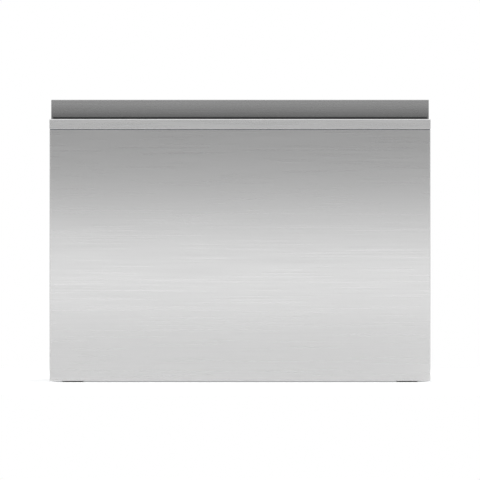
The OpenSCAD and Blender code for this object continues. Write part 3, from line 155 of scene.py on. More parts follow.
@dataclass(frozen=True)
class Finish:
    """What every finish shares: a name, a colour and the values of its shader.

    Attributes:
        name: the real material and how its surface was made.
        colour: sRGB colour of the surface.
        roughness: how far its reflections spread.
        metallic: one on bare metal.
    """

    name: str
    colour: str
    roughness: float = 0.4
    metallic: float = 0.0

    def material(self) -> bpy.types.Material:
        """Makes the material on the first call and hands the same one out after that.

        Returns:
            The material.
        """
        made = bpy.data.materials.get(self.name)
        if made is None:
            made = bpy.data.materials.new(self.name)
            tree = empty_tree(made)
            shader = add_node(tree, "ShaderNodeBsdfPrincipled", self.sockets())
            add_node(tree, "ShaderNodeOutputMaterial", links={"Surface": shader.outputs["BSDF"]})
            self.detail(tree, shader)
        return made

    def sockets(self) -> dict:
        """Values that are the same all over the surface.

        Returns:
            Names of the shader's sockets, with their values.
        """
        return {
            "Base Color": linear(self.colour),
            "Roughness": self.roughness,
            "Metallic": self.metallic,
        }

    def detail(self, tree: bpy.types.NodeTree, shader: bpy.types.Node) -> None:
        """Adds the pattern of the surface; a subclass says which."""

    def place(self, tree: bpy.types.NodeTree, size_mm: Point) -> bpy.types.NodeSocket:
        """Coordinates in which one unit is the size of one element of a pattern.

        Args:
            tree: the material's node tree.
            size_mm: the element's size along each axis, in millimetres.

        Returns:
            The vector socket that a texture takes.
        """
        where = add_node(tree, "ShaderNodeTexCoord")
        scale = tuple(1 / (size * MM) for size in size_mm)
        mapping = add_node(
            tree, "ShaderNodeMapping", {"Scale": scale}, {"Vector": where.outputs["Object"]}
        )
        return mapping.outputs["Vector"]

    def mottle(self, tree: bpy.types.NodeTree, size_mm: Point, octaves: float = 3.0) -> bpy.types.NodeSocket:
        """A soft random pattern, stretched so that its extremes are zero and one.

        Args:
            tree: the material's node tree.
            size_mm: size of its largest spots along each axis, in millimetres.
            octaves: how many finer layers it has.

        Returns:
            The socket of its value.
        """
        texture = add_node(
            tree,
            "ShaderNodeTexNoise",
            {"Scale": 1.0, "Detail": octaves, "Roughness": NOISE_ROUGHNESS},
            {"Vector": self.place(tree, size_mm)},
        )
        stretched = add_node(
            tree,
            "ShaderNodeMapRange",
            {"From Min": NOISE_SPAN[0], "From Max": NOISE_SPAN[1]},
            {"Value": texture.outputs["Fac"]},
        )
        return stretched.outputs["Result"]

    def gloss(
        self,
        tree: bpy.types.NodeTree,
        shader: bpy.types.Node,
        value: bpy.types.NodeSocket,
        low: float,
        high: float,
    ) -> None:
        """Lets a pattern change how far reflections spread.

        Args:
            tree: the material's node tree.
            shader: its shader.
            value: the pattern, from zero to one.
            low: what is added to the finish's roughness where the pattern is zero.
            high: what is added where it is one.
        """
        rough = add_node(
            tree,
            "ShaderNodeMapRange",
            {"To Min": self.roughness + low, "To Max": self.roughness + high},
            {"Value": value},
        )
        tree.links.new(rough.outputs["Result"], shader.inputs["Roughness"])

    def two_tone(
        self,
        tree: bpy.types.NodeTree,
        shader: bpy.types.Node,
        value: bpy.types.NodeSocket,
        tones: tuple[Colour, Colour],
    ) -> None:
        """Lets a pattern lead the surface from one colour to another.

        Args:
            tree: the material's node tree.
            shader: its shader.
            value: the pattern, from zero to one.
            tones: linear colours where it is zero and where it is one.
        """
        mix = add_node(tree, "ShaderNodeMix", {"data_type": "RGBA"}, {0: value})
        colours = [socket for socket in mix.inputs if socket.type == "RGBA"]
        colours[0].default_value, colours[1].default_value = tones
        result = [socket for socket in mix.outputs if socket.type == "RGBA"][0]
        tree.links.new(result, shader.inputs["Base Color"])

    def tint(
        self, tree: bpy.types.NodeTree, shader: bpy.types.Node, value: bpy.types.NodeSocket, contrast: float
    ) -> None:
        """Lets a pattern lighten and darken the colour.

        Args:
            tree: the material's node tree.
            shader: its shader.
            value: the pattern, from zero to one.
            contrast: share of the colour that is taken away at zero and added at one.
        """
        red, green, blue, alpha = linear(self.colour)
        dark, light = (
            (min(red * share, 1.0), min(green * share, 1.0), min(blue * share, 1.0), alpha)
            for share in (1 - contrast, 1 + contrast)
        )
        self.two_tone(tree, shader, value, (dark, light))

    def emboss(
        self, tree: bpy.types.NodeTree, shader: bpy.types.Node, value: bpy.types.NodeSocket, depth_mm: float
    ) -> None:
        """Lets a pattern raise and sink the surface.

        Args:
            tree: the material's node tree.
            shader: its shader.
            value: the pattern, from zero to one.
            depth_mm: real depth between the two.
        """
        bump = add_node(
            tree, "ShaderNodeBump", {"Strength": 1.0, "Distance": depth_mm * MM}, {"Height": value}
        )
        tree.links.new(bump.outputs["Normal"], shader.inputs["Normal"])


@dataclass(frozen=True)
class BrushedStainless(Finish):
    """Ferritic stainless sheet, belt-ground to a directional grain.

    The grain's real lines are about 0.05 mm apart, too fine to show, so they are drawn as bundles
    a few millimetres high.

    Attributes:
        along: the direction of the grinding belt.
        bundle_mm: height of a bundle of lines that shows.
        streak_mm: length of a streak.
        contrast: how much one bundle differs in brightness from the next.
        rough_swing: how much one bundle differs in roughness from the next.
        depth_mm: depth of the bundles.
        stretch: how much further the grain spreads light across itself than along.
        painted_shade_z: heights, in millimetres, between which the painted shade fades and the sheet
            brightens to its full colour.
        painted_shade_share: share of its brightness that the painted shade leaves at the lower of the two.
    """

    metallic: float = 1.0
    along: Axis = Axis.X
    bundle_mm: float = 3.0
    streak_mm: float = 160.0
    contrast: float = 0.04
    rough_swing: float = 0.04
    depth_mm: float = 0.0008
    stretch: float = 0.5
    painted_shade_z: Flat = (0.0, 1.0)
    painted_shade_share: float = 1.0

    def sockets(self) -> dict:
        """Constant values, with the spread of light across the grain.

        Returns:
            Names of the shader's sockets, with their values.
        """
        values = super().sockets()
        values.update({"Anisotropic": self.stretch, "Anisotropic Rotation": 0.25})
        return values

    def detail(self, tree: bpy.types.NodeTree, shader: bpy.types.Node) -> None:
        """Draws the ground lines in colour, roughness and height.

        Args:
            tree: the material's node tree.
            shader: its shader.
        """
        size = [self.bundle_mm] * 3
        size[self.along.value] = self.streak_mm
        lines = self.mottle(tree, tuple(size), 5.0)
        self.tint(tree, shader, lines, self.contrast)
        self.gloss(tree, shader, lines, self.rough_swing, -self.rough_swing)
        self.emboss(tree, shader, lines, self.depth_mm)
        # Painted shade: the colour darkens downwards between two heights.
        if self.painted_shade_share < 1.0:
            self.paint_fold_shade(tree, shader)
        tangent = add_node(tree, "ShaderNodeTangent", {"direction_type": "RADIAL", "axis": "Z"})
        tree.links.new(tangent.outputs["Tangent"], shader.inputs["Tangent"])

    def paint_fold_shade(self, tree: bpy.types.NodeTree, shader: bpy.types.Node) -> None:
        """Paints shade into the colour: it darkens towards the fold at the channel's bottom.

        Args:
            tree: the material's node tree.
            shader: its shader.
        """
        where = add_node(tree, "ShaderNodeTexCoord")
        split = add_node(tree, "ShaderNodeSeparateXYZ", links={"Vector": where.outputs["Object"]})
        low, high = (z * MM for z in self.painted_shade_z)
        share = add_node(
            tree,
            "ShaderNodeMapRange",
            {"From Min": low, "From Max": high, "To Min": self.painted_shade_share},
            {"Value": split.outputs["Z"]},
        )
        # The colour is multiplied by the painted shade.
        colour = shader.inputs["Base Color"].links[0].from_socket
        painted_shade_colour = add_node(
            tree, "ShaderNodeVectorMath", {"operation": "MULTIPLY"}, {0: colour, 1: share.outputs["Result"]}
        )
        tree.links.new(painted_shade_colour.outputs["Vector"], shader.inputs["Base Color"])


@dataclass(frozen=True)
class CoatedSheet(Finish):
    """Hot-dip zinc coated steel sheet: the zinc froze in crystals that catch the light apart.

    Attributes:
        crystal_mm: size of one zinc crystal.
        contrast: how much one crystal differs in brightness from the next.
        gloss_swing: how much it differs in roughness.
        wave_mm: length of the waves that rolling left.
        wave_depth_mm: their depth.
    """

    metallic: float = 1.0
    roughness: float = 0.36
    crystal_mm: float = 7.0
    contrast: float = 0.1
    gloss_swing: float = 0.06
    wave_mm: float = 70.0
    wave_depth_mm: float = 0.05

    def detail(self, tree: bpy.types.NodeTree, shader: bpy.types.Node) -> None:
        """Draws the crystals, and the faint waves that rolling left in the sheet.

        Args:
            tree: the material's node tree.
            shader: its shader.
        """
        cells = add_node(
            tree,
            "ShaderNodeTexVoronoi",
            {"Scale": 1.0, "feature": "F1"},
            {"Vector": self.place(tree, (self.crystal_mm,) * 3)},
        )
        grey = add_node(tree, "ShaderNodeRGBToBW", links={"Color": cells.outputs["Color"]})
        self.tint(tree, shader, grey.outputs["Val"], self.contrast)
        self.gloss(tree, shader, grey.outputs["Val"], -self.gloss_swing, self.gloss_swing)
        self.emboss(tree, shader, self.mottle(tree, (self.wave_mm,) * 3, 2.0), self.wave_depth_mm)


@dataclass(frozen=True)
class PlatedSteel(Finish):
    """Cold-formed metal with a thin bright plating or skin, a little cloudy from the bath.

    Attributes:
        cloud_mm: size of a cloud.
        contrast: how much the clouds differ in brightness.
        gloss_swing: how far they lower and raise the roughness.
        line_mm: size of a drawing line.
        line_depth_mm: its depth.
    """

    metallic: float = 1.0
    roughness: float = 0.28
    cloud_mm: Point = (14.0, 30.0, 14.0)
    contrast: float = 0.08
    gloss_swing: Flat = (-0.06, 0.12)
    line_mm: Point = (1.2, 60.0, 1.2)
    line_depth_mm: float = 0.004

    def detail(self, tree: bpy.types.NodeTree, shader: bpy.types.Node) -> None:
        """Draws the cloudy plating and fine drawing lines.

        Args:
            tree: the material's node tree.
            shader: its shader.
        """
        cloud = self.mottle(tree, self.cloud_mm, 4.0)
        self.tint(tree, shader, cloud, self.contrast)
        self.gloss(tree, shader, cloud, *self.gloss_swing)
        self.emboss(tree, shader, self.mottle(tree, self.line_mm, 2.0), self.line_depth_mm)


@dataclass(frozen=True)
class MouldedPlastic(Finish):
    """Injection-moulded plastic: the grain of the spark-eroded tool, drawn about twice as coarse.

    Attributes:
        grain_mm: size of one grain of the tool's texture.
        grain_depth_mm: its depth.
        contrast: slow change of shade over the moulding.
        gloss_swing: slow change of its roughness.
        slow_mm: length of these changes.
    """

    roughness: float = 0.45
    grain_mm: float = 0.9
    grain_depth_mm: float = 0.008
    contrast: float = 0.035
    gloss_swing: float = 0.05
    slow_mm: float = 55.0

    def detail(self, tree: bpy.types.NodeTree, shader: bpy.types.Node) -> None:
        """Draws the grain and the slow change of shade and gloss.

        Args:
            tree: the material's node tree.
            shader: its shader.
        """
        slow = self.mottle(tree, (self.slow_mm,) * 3)
        self.tint(tree, shader, slow, self.contrast)
        self.gloss(tree, shader, slow, -self.gloss_swing, self.gloss_swing)
        self.emboss(tree, shader, self.mottle(tree, (self.grain_mm,) * 3, 2.0), self.grain_depth_mm)


@dataclass(frozen=True)
class CoatedWire(Finish):
    """Steel wire dipped in nylon: a soft shine over a slightly uneven coat.

    Attributes:
        coat_mm: size of a thick spot in the coat.
        contrast: how much it differs in brightness.
        gloss_swing: how far the spots lower and raise the roughness.
        coat_depth_mm: how much thicker the coat is there.
    """

    roughness: float = 0.32
    coat_mm: Point = (4.0, 4.0, 9.0)
    contrast: float = 0.06
    gloss_swing: Flat = (-0.05, 0.08)
    coat_depth_mm: float = 0.03

    def detail(self, tree: bpy.types.NodeTree, shader: bpy.types.Node) -> None:
        """Draws the uneven thickness of the dip coat.

        Args:
            tree: the material's node tree.
            shader: its shader.
        """
        uneven = self.mottle(tree, self.coat_mm)
        self.tint(tree, shader, uneven, self.contrast)
        self.gloss(tree, shader, uneven, *self.gloss_swing)
        self.emboss(tree, shader, uneven, self.coat_depth_mm)


@dataclass(frozen=True)
class PerforatedSteel(Finish):
    """Stainless sheet etched with rows of holes too small to be cut in the mesh.

    Attributes:
        pitch_mm: distance between two holes, drawn as coarse as it needs to show.
        hole_share: radius of a hole as a share of the pitch.
        edge_share: how far the hole's edge is softened, as a share of the pitch.
        hole_colour: sRGB colour inside a hole.
        hole_depth_mm: depth of a hole.
    """

    metallic: float = 1.0
    roughness: float = 0.3
    pitch_mm: float = 2.6
    hole_share: float = 0.27
    edge_share: float = 0.04
    hole_colour: str = "#1c1d1e"
    hole_depth_mm: float = 0.4

    def detail(self, tree: bpy.types.NodeTree, shader: bpy.types.Node) -> None:
        """Draws the holes as dark pits in straight rows.

        Args:
            tree: the material's node tree.
            shader: its shader.
        """
        cells = add_node(
            tree,
            "ShaderNodeTexVoronoi",
            {"Scale": 1.0, "Randomness": 0.0, "feature": "F1", "voronoi_dimensions": "2D"},
            {"Vector": self.place(tree, (self.pitch_mm,) * 3)},
        )
        inner, outer = self.hole_share - self.edge_share, self.hole_share + self.edge_share
        metal = add_node(
            tree,
            "ShaderNodeMapRange",
            {"From Min": inner, "From Max": outer},
            {"Value": cells.outputs["Distance"]},
        )
        tones = (linear(self.hole_colour), linear(self.colour))
        self.two_tone(tree, shader, metal.outputs["Result"], tones)
        self.emboss(tree, shader, metal.outputs["Result"], self.hole_depth_mm)


@dataclass(frozen=True)
class CircuitBoard(Finish):
    """Glass-epoxy board under green solder mask, with copper tracks that show through it.

    Attributes:
        track_mm: distance between two tracks, drawn as coarse as it needs to show.
        contrast: how much lighter the mask is over copper.
        track_depth_mm: how far the tracks stand up.
    """

    roughness: float = 0.3
    track_mm: float = 5.0
    contrast: float = 0.35
    track_depth_mm: float = 0.04

    def detail(self, tree: bpy.types.NodeTree, shader: bpy.types.Node) -> None:
        """Draws the tracks as lighter lines between square cells.

        Args:
            tree: the material's node tree.
            shader: its shader.
        """
        cells = add_node(
            tree,
            "ShaderNodeTexVoronoi",
            {"Scale": 1.0, "feature": "F1", "distance": "CHEBYCHEV"},
            {"Vector": self.place(tree, (self.track_mm,) * 3)},
        )
        self.tint(tree, shader, cells.outputs["Distance"], self.contrast)
        self.emboss(tree, shader, cells.outputs["Distance"], self.track_depth_mm)


@dataclass(frozen=True)
class TintedPane(Finish):
    """Smoked acrylic pane over the indicator lamps, polished.

    Attributes:
        coat: strength of the clear top coat.
        coat_roughness: its roughness.
        wipe_mm: size of a wipe mark.
        wipe_swing: how much duller a mark is.
    """

    roughness: float = 0.06
    coat: float = 0.6
    coat_roughness: float = 0.03
    wipe_mm: Point = (9.0, 3.0, 9.0)
    wipe_swing: float = 0.08

    def sockets(self) -> dict:
        """Constant values, with a clear top coat.

        Returns:
            Names of the shader's sockets, with their values.
        """
        values = super().sockets()
        values.update({"Coat Weight": self.coat, "Coat Roughness": self.coat_roughness})
        return values

    def detail(self, tree: bpy.types.NodeTree, shader: bpy.types.Node) -> None:
        """Draws faint wipe marks in the gloss."""
        self.gloss(tree, shader, self.mottle(tree, self.wipe_mm, 4.0), 0.0, self.wipe_swing)


@dataclass(frozen=True)
class SoftRubber(Finish):
    """Moulded rubber, foam or bitumen, matt, with the fine bloom that such parts have.

    Attributes:
        bloom_mm: size of a spot of bloom.
        contrast: how much the bloom lightens and darkens.
        gloss_swing: how far it lowers and raises the roughness.
        bloom_depth_mm: its height.
    """

    roughness: float = 0.75
    bloom_mm: float = 6.0
    contrast: float = 0.22
    gloss_swing: float = 0.12
    bloom_depth_mm: float = 0.02

    def detail(self, tree: bpy.types.NodeTree, shader: bpy.types.Node) -> None:
        """Draws the bloom in shade and gloss.

        Args:
            tree: the material's node tree.
            shader: its shader.
        """
        bloom = self.mottle(tree, (self.bloom_mm,) * 3, 5.0)
        self.tint(tree, shader, bloom, self.contrast)
        self.gloss(tree, shader, bloom, -self.gloss_swing, self.gloss_swing)
        self.emboss(tree, shader, bloom, self.bloom_depth_mm)


# Fine belt-ground stainless: long faint horizontal lines and a reflection drawn out up and down.
PANEL_STEEL = BrushedStainless("stainless_sheet_fine_ground", "#cccccc", 0.30, bundle_mm=2.0, contrast=0.012)
# The same steel ground coarser, its colour paler than the panel's as a painted highlight: a paler, crisper
# band along the lip.
LIP_STEEL = BrushedStainless("stainless_sheet_coarse_ground_painted_highlight", "#ebebeb", 0.28, bundle_mm=2.6, contrast=0.03)
# The channel's back wall: streaky lines on a colour darker than the panel's as painted shade, with more
# painted shade towards the fold.
CHANNEL_STEEL = BrushedStainless(
    "stainless_sheet_coarse_ground_painted_shade",
    "#bdbdbd",
    0.26,
    bundle_mm=2.6,
    contrast=0.1,
    # Painted shade: darker from 436 mm down to 415 mm.
    painted_shade_z=(415.0, 436.0),
    painted_shade_share=0.6,
)
# Mill-ground inner sheet: a soft grey sheen with upright lines.
INNER_STEEL = BrushedStainless("stainless_sheet_mill_ground", "#a9abad", 0.4, along=Axis.Z, contrast=0.05)
# Rolled galvanised sheet: cool grey with a faint patchwork of crystals.
CABINET_STEEL = CoatedSheet("zinc_coated_sheet_rolled", "#b4b8ba")
# Roll-formed and zinc plated: bright, slightly clouded rails.
RUNNER_STEEL = PlatedSteel("zinc_plated_steel_roll_formed", "#b2b6b9")
# Cold-headed and zinc plated: small darker glints.
SCREW_STEEL = PlatedSteel("zinc_plated_steel_headed", "#9ea2a5")
# Drawn nickel alloy: a warm grey tube with soft highlights.
ELEMENT_STEEL = PlatedSteel("nickel_alloy_tube_drawn", "#8f8f8d", 0.34)
# Polypropylene from a polished tool: pale walls with a wet-looking sheen.
TUB_PLASTIC = MouldedPlastic("polypropylene_moulded_gloss", "#d6d8d9", 0.22, grain_depth_mm=0.0016)
# Polypropylene from a satin tool: pale grey without glare.
LID_PLASTIC = MouldedPlastic("polypropylene_moulded_satin", "#c3c6c8", 0.4)
# ABS from an eroded tool: dark, with a fine grain that breaks up highlights.
DARK_PLASTIC = MouldedPlastic("abs_moulded_dark_grey", "#3c3e41", 0.42)
# The same in mid grey, a little smoother: keys that stand out from their fascia.
KEY_PLASTIC = MouldedPlastic("abs_moulded_mid_grey", "#74777b", 0.36)
# Unpigmented polyamide: warm off-white fittings.
WHITE_PLASTIC = MouldedPlastic("polyamide_moulded_natural", "#e2e0d8", 0.4)
# Grey polypropylene: plain satin parts that touch water.
GREY_PLASTIC = MouldedPlastic("polypropylene_moulded_grey", "#85898c", 0.4)
# Blue polypropylene: a glossy spot of colour on what is filled by hand.
BLUE_PLASTIC = MouldedPlastic("polypropylene_moulded_blue", "#2f569b", 0.3)
# Glass-filled polyamide: almost black and nearly matt.
FOOT_PLASTIC = MouldedPlastic("glass_filled_polyamide_moulded", "#2b2c2e", 0.55)
# Painted die casting: the coarse skin of the casting shows through the paint.
MOTOR_PAINT = MouldedPlastic(
    "aluminium_die_cast_painted", "#54575b", 0.5, grain_mm=1.6, grain_depth_mm=0.02
)
# Nylon-dipped wire: grey with a soft rounded shine.
RACK_WIRE = CoatedWire("nylon_coated_steel_wire", "#8e9396")
# Etched stainless filter sheet: rows of dark dots in bright metal.
FILTER_STEEL = PerforatedSteel("stainless_sheet_etched", "#bfc1c2")
# Solder-masked board: deep green with lighter tracks.
BOARD_EPOXY = CircuitBoard("glass_epoxy_solder_masked", "#1d5c38")
# Polished smoked acrylic: nearly black with sharp reflections.
SMOKED_PANE = TintedPane("acrylic_polished_smoked", "#101214")
# Charcoal ABS: a dark liner put in the channel as painted shade, which makes the channel look deep.
SHADE_LINER_PLASTIC = MouldedPlastic("abs_moulded_charcoal_painted_shade", "#2a2b2c", 0.5)
# Slate polypropylene: clips a shade darker than the wire.
CLIP_PLASTIC = MouldedPlastic("polypropylene_moulded_slate", "#5f6468", 0.4)
# Foam tape: a dull grey line between two bright sheets.
JOINT_FOAM = SoftRubber("polyethylene_foam_tape", "#626367", 0.8)
# Moulded rubber: black and soft, with a dusty bloom.
SEAL_RUBBER = SoftRubber("epdm_rubber_moulded", "#2a2a2b")
# Pressed bitumen: black and quite matt.
BITUMEN = SoftRubber("bitumen_sheet_pressed", "#26262a", 0.85)


# ---------------------------------------------------------------- pieces


def paint(finish: Finish, *nodes: str) -> None:
    """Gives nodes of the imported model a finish.

    Args:
        finish: the finish.
        nodes: names of the nodes.
    """
    for name in nodes:
        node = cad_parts[name]
        for slot in node.material_slots:
            slot.material = finish.material()
        LOG.info("%s: %s", name, finish.name)


def round_edges(piece: bpy.types.Object, width_mm: float, degrees: float) -> None:
    """Adds the modifiers that round a piece's edges and keep the shading of its flats even.

    Args:
        piece: the piece.
        width_mm: width of the rounding; none is made at zero.
        degrees: edges sharper than this are rounded.
    """
    if width_mm:
        bevel = piece.modifiers.new("edge", "BEVEL")
        bevel.width = width_mm * MM
        bevel.segments = ROUNDING_STEPS
        bevel.limit_method = "ANGLE"
        bevel.angle_limit = math.radians(degrees)
        bevel.harden_normals = True
    flats = piece.modifiers.new("flats", "WEIGHTED_NORMAL")
    flats.keep_sharp = True


def soften(node: str, width_mm: float) -> None:
    """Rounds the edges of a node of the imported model.

    The triangles of each flat are merged first, because a bevel would fold the long thin ones over.

    Args:
        node: name of the node.
        width_mm: width of the rounding.
    """
    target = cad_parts[node]
    weld = target.modifiers.new("weld", "WELD")
    weld.merge_threshold = PACKED_WELD * MM
    planar = target.modifiers.new("planar", "DECIMATE")
    planar.decimate_type = "DISSOLVE"
    planar.angle_limit = math.radians(FLAT_DEGREES)
    round_edges(target, width_mm, EDGE_DEGREES)


class Body(Enum):
    """The bodies that new pieces ride on."""

    CABINET = "cabinet"
    FRONT_LEFT_FOOT = "foot_1"
    FRONT_RIGHT_FOOT = "foot_2"
    REAR_LEFT_FOOT = "foot_3"
    REAR_RIGHT_FOOT = "foot_4"
    DRAWER = "drawer"
    WASH_ARM = "wash_arm"
    FRONT_TINES = "front_tines"
    REAR_TINES = "rear_tines"
    LEFT_SHELF = "left_cup_shelf"
    RIGHT_SHELF = "right_cup_shelf"


def arc(centre: Flat, radius: float, start: float, end: float, steps: int = 10) -> list[Flat]:
    """Points on a circle in a plane.

    Args:
        centre: centre of the circle.
        radius: its radius.
        start: angle of the first point in degrees.
        end: angle of the last point in degrees.
        steps: stretches between the two.

    Returns:
        The points, the first and the last included.
    """
    angles = (math.radians(start + (end - start) * i / steps) for i in range(steps + 1))
    return [(centre[0] + radius * math.cos(a), centre[1] + radius * math.sin(a)) for a in angles]


def bent(points: list[Point], radius: float, closed: bool = False, steps: int = 5) -> list[Vector]:
    """Rounds the corners of a path as a wire bender does.

    Args:
        points: the path's corners in millimetres.
        radius: bending radius.
        closed: the last point joins the first.
        steps: stretches in each bend.

    Returns:
        The rounded path.
    """
    corners = [Vector(point) for point in points]
    count = len(corners)
    path: list[Vector] = []
    for i, corner in enumerate(corners):
        if not closed and i in (0, count - 1):
            path.append(corner)
            continue
        before = (corners[i - 1] - corner).normalized()
        after = (corners[(i + 1) % count] - corner).normalized()
        half = before.angle(after) / 2
        reach = radius / math.tan(half)
        middle = corner + (before + after).normalized() * radius / math.sin(half)
        first, last = corner + before * reach - middle, corner + after * reach - middle
        for k in range(steps + 1):
            path.append(middle + first.slerp(last, k / steps).normalized() * radius)
    return path


def rounded_loop(half: float, y: Flat, corner: float, z: float) -> list[Vector]:
    """A rectangle with round corners at one height.

    Args:
        half: half its width.
        y: its front and its rear.
        corner: radius of its corners.
        z: its height.

    Returns:
        Its points in order.
    """
    corners = [(-half, y[0], z), (half, y[0], z), (half, y[1], z), (-half, y[1], z)]
    return bent(corners, corner, closed=True, steps=8)


def spaced(low: float, high: float, count: int) -> list[float]:
    """Evenly spaced places between two ends, the ends left out."""
    return [low + (high - low) * i / (count + 1) for i in range(1, count + 1)]


class Shape:
    """A mesh in the making. It is drawn in millimetres and handed over in metres."""

    def __init__(self, name: str) -> None:
        """Starts an empty mesh.

        Args:
            name: name of the piece.
        """
        self.name = name
        self.mesh = bmesh.new()

    def face(self, corners: list[bmesh.types.BMVert], material: int = 0) -> None:
        """Adds one face with one of the piece's materials."""
        self.mesh.faces.new(corners).material_index = material

    def skin(self, rings: list[list[bmesh.types.BMVert]], closed: bool = False, material: int = 0) -> None:
        """Joins rings of as many points each by faces.

        Args:
            rings: the rings in order.
            closed: the last ring joins the first.
            material: number of the material.
        """
        pairs = list(zip(rings, rings[1:])) + ([(rings[-1], rings[0])] if closed else [])
        for one, two in pairs:
            for i in range(len(one)):
                k = (i + 1) % len(one)
                self.face([one[i], one[k], two[k], two[i]], material)

    def ring(self, points: list[Vector]) -> list[bmesh.types.BMVert]:
        """Adds the points of one ring."""
        return [self.mesh.verts.new(point) for point in points]

    def tube(
        self, path: list[Vector], radius: float, closed: bool = False, sides: int = 10, material: int = 0
    ) -> None:
        """A round wire along a path, with round tips where the path is open.

        Args:
            path: points along its middle.
            radius: radius of the wire.
            closed: the last point joins the first.
            sides: faces around it.
            material: number of the material.
        """
        count = len(path)
        side = None
        rings = []
        for i, point in enumerate(path):
            before = path[i - 1] if i or closed else point
            after = path[(i + 1) % count] if i < count - 1 or closed else point
            along = (after - before).normalized()
            side = along.orthogonal() if side is None else side - along * side.dot(along)
            side.normalize()
            other = along.cross(side)
            stops = [(0.0, 1.0)]
            if not closed and i == 0:
                stops = [(-push, width) for push, width in reversed(WIRE_TIP)] + stops
            elif not closed and i == count - 1:
                stops += WIRE_TIP
            for push, width in stops:
                centre = point + along * push * radius
                turns = [2 * math.pi * k / sides for k in range(sides)]
                rings.append(
                    self.ring(
                        [centre + (side * math.cos(a) + other * math.sin(a)) * radius * width for a in turns]
                    )
                )
        self.skin(rings, closed, material)
        if not closed:
            self.face(list(reversed(rings[0])), material)
            self.face(rings[-1], material)

    def prism(self, outline: list[Flat], axis: Axis, low: float, high: float, material: int = 0) -> None:
        """Pulls an outline along an axis.

        Args:
            outline: points in the plane of the two other axes, in their order.
            axis: direction of the pull.
            low: where it starts.
            high: where it ends.
            material: number of the material.
        """
        rings = []
        for stop in (low, high):
            points = []
            for first, second in outline:
                place = [first, second]
                place.insert(axis.value, stop)
                points.append(Vector(place))
            rings.append(self.ring(points))
        self.skin(rings, material=material)
        self.face(list(reversed(rings[0])), material)
        self.face(rings[1], material)

    def box(self, x: Flat, y: Flat, z: Flat, material: int = 0) -> None:
        """A block between two corners, given as low and high along each axis."""
        self.prism([(x[0], y[0]), (x[1], y[0]), (x[1], y[1]), (x[0], y[1])], Axis.Z, z[0], z[1], material)

    def lathe(
        self,
        profile: list[Flat],
        centre: Point,
        axis: Axis = Axis.Z,
        sides: int = LATHE_SIDES,
        material: int = 0,
    ) -> None:
        """Turns a closed profile about an axis.

        Args:
            profile: radius and height of its points, in order around the section.
            centre: a point on the axis.
            axis: direction of the axis.
            sides: faces around it.
            material: number of the material.
        """
        rings = []
        for radius, height in profile:
            points = []
            drawn = max(radius, ON_AXIS)
            for k in range(sides):
                angle = 2 * math.pi * k / sides
                place = [drawn * math.cos(angle), drawn * math.sin(angle)]
                place.insert(axis.value, height)
                points.append(Vector(centre) + Vector(place))
            rings.append(self.ring(points))
        self.skin(rings, True, material)

    def rod(self, centre: Flat, radius: float, axis: Axis, low: float, high: float) -> None:
        """A straight round bar between two heights along an axis."""
        self.prism(arc(centre, radius, 0, 360, ROD_SIDES)[:-1], axis, low, high)

    def loft(self, sections: list[list[Vector]]) -> None:
        """A closed solid through sections of as many points each.

        Args:
            sections: the sections in order.
        """
        rings = [self.ring(section) for section in sections]
        self.skin(rings)
        self.face(list(reversed(rings[0])))
        self.face(rings[-1])

    def take(self, other: "Shape") -> None:
        """Adds another shape's mesh to this one.

        Args:
            other: the other shape; it is used up.
        """
        data = bpy.data.meshes.new(other.name)
        other.mesh.to_mesh(data)
        other.mesh.free()
        self.mesh.from_mesh(data)
        bpy.data.meshes.remove(data)

    def carve(self, cutter: "Shape") -> None:
        """Cuts another shape out of this one; the pieces of either may overlap.

        Args:
            cutter: the shape that is taken away; it is used up.
        """
        solids = []
        for shape in (self, cutter):
            bmesh.ops.recalc_face_normals(shape.mesh, faces=shape.mesh.faces)
            data = bpy.data.meshes.new(shape.name)
            shape.mesh.to_mesh(data)
            solids.append(bpy.data.objects.new(shape.name, data))
            bpy.context.scene.collection.objects.link(solids[-1])
        body, tool = solids
        cut = body.modifiers.new("cut", "BOOLEAN")
        cut.operation = "DIFFERENCE"
        cut.solver = "EXACT"
        cut.use_self = True
        cut.object = tool
        result = bpy.data.meshes.new_from_object(body.evaluated_get(bpy.context.evaluated_depsgraph_get()))
        self.mesh.clear()
        self.mesh.from_mesh(result)
        cutter.mesh.free()
        for data in (body.data, tool.data, result):
            bpy.data.meshes.remove(data)

    def hand_over(
        self,
        body: Body,
        finishes: list[Finish],
        slot: str,
        replaces: tuple[str, ...] = (),
        round_mm: float = 0.0,
        sharp: float = SHARP_DEGREES,
    ) -> None:
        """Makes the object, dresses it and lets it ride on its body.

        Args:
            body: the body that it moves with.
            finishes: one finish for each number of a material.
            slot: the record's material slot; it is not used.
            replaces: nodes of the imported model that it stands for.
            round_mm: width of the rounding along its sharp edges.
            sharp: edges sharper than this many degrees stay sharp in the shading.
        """
        bmesh.ops.remove_doubles(self.mesh, verts=self.mesh.verts, dist=MERGE)
        bmesh.ops.recalc_face_normals(self.mesh, faces=self.mesh.faces)
        bmesh.ops.scale(self.mesh, vec=(MM, MM, MM), verts=self.mesh.verts)
        data = bpy.data.meshes.new(self.name)
        self.mesh.to_mesh(data)
        self.mesh.free()
        data.shade_smooth()
        data.set_sharp_from_angle(angle=math.radians(sharp))
        for finish in finishes:
            data.materials.append(finish.material())
        piece = bpy.data.objects.new(self.name, data)
        bpy.context.scene.collection.objects.link(piece)
        round_edges(piece, round_mm, sharp)
        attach(piece, body.value)
        if replaces:
            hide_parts(*replaces)
        LOG.info("%s: %d faces on %s", self.name, len(data.polygons), body.value)


# ---------------------------------------------------------------- sub-assemblies


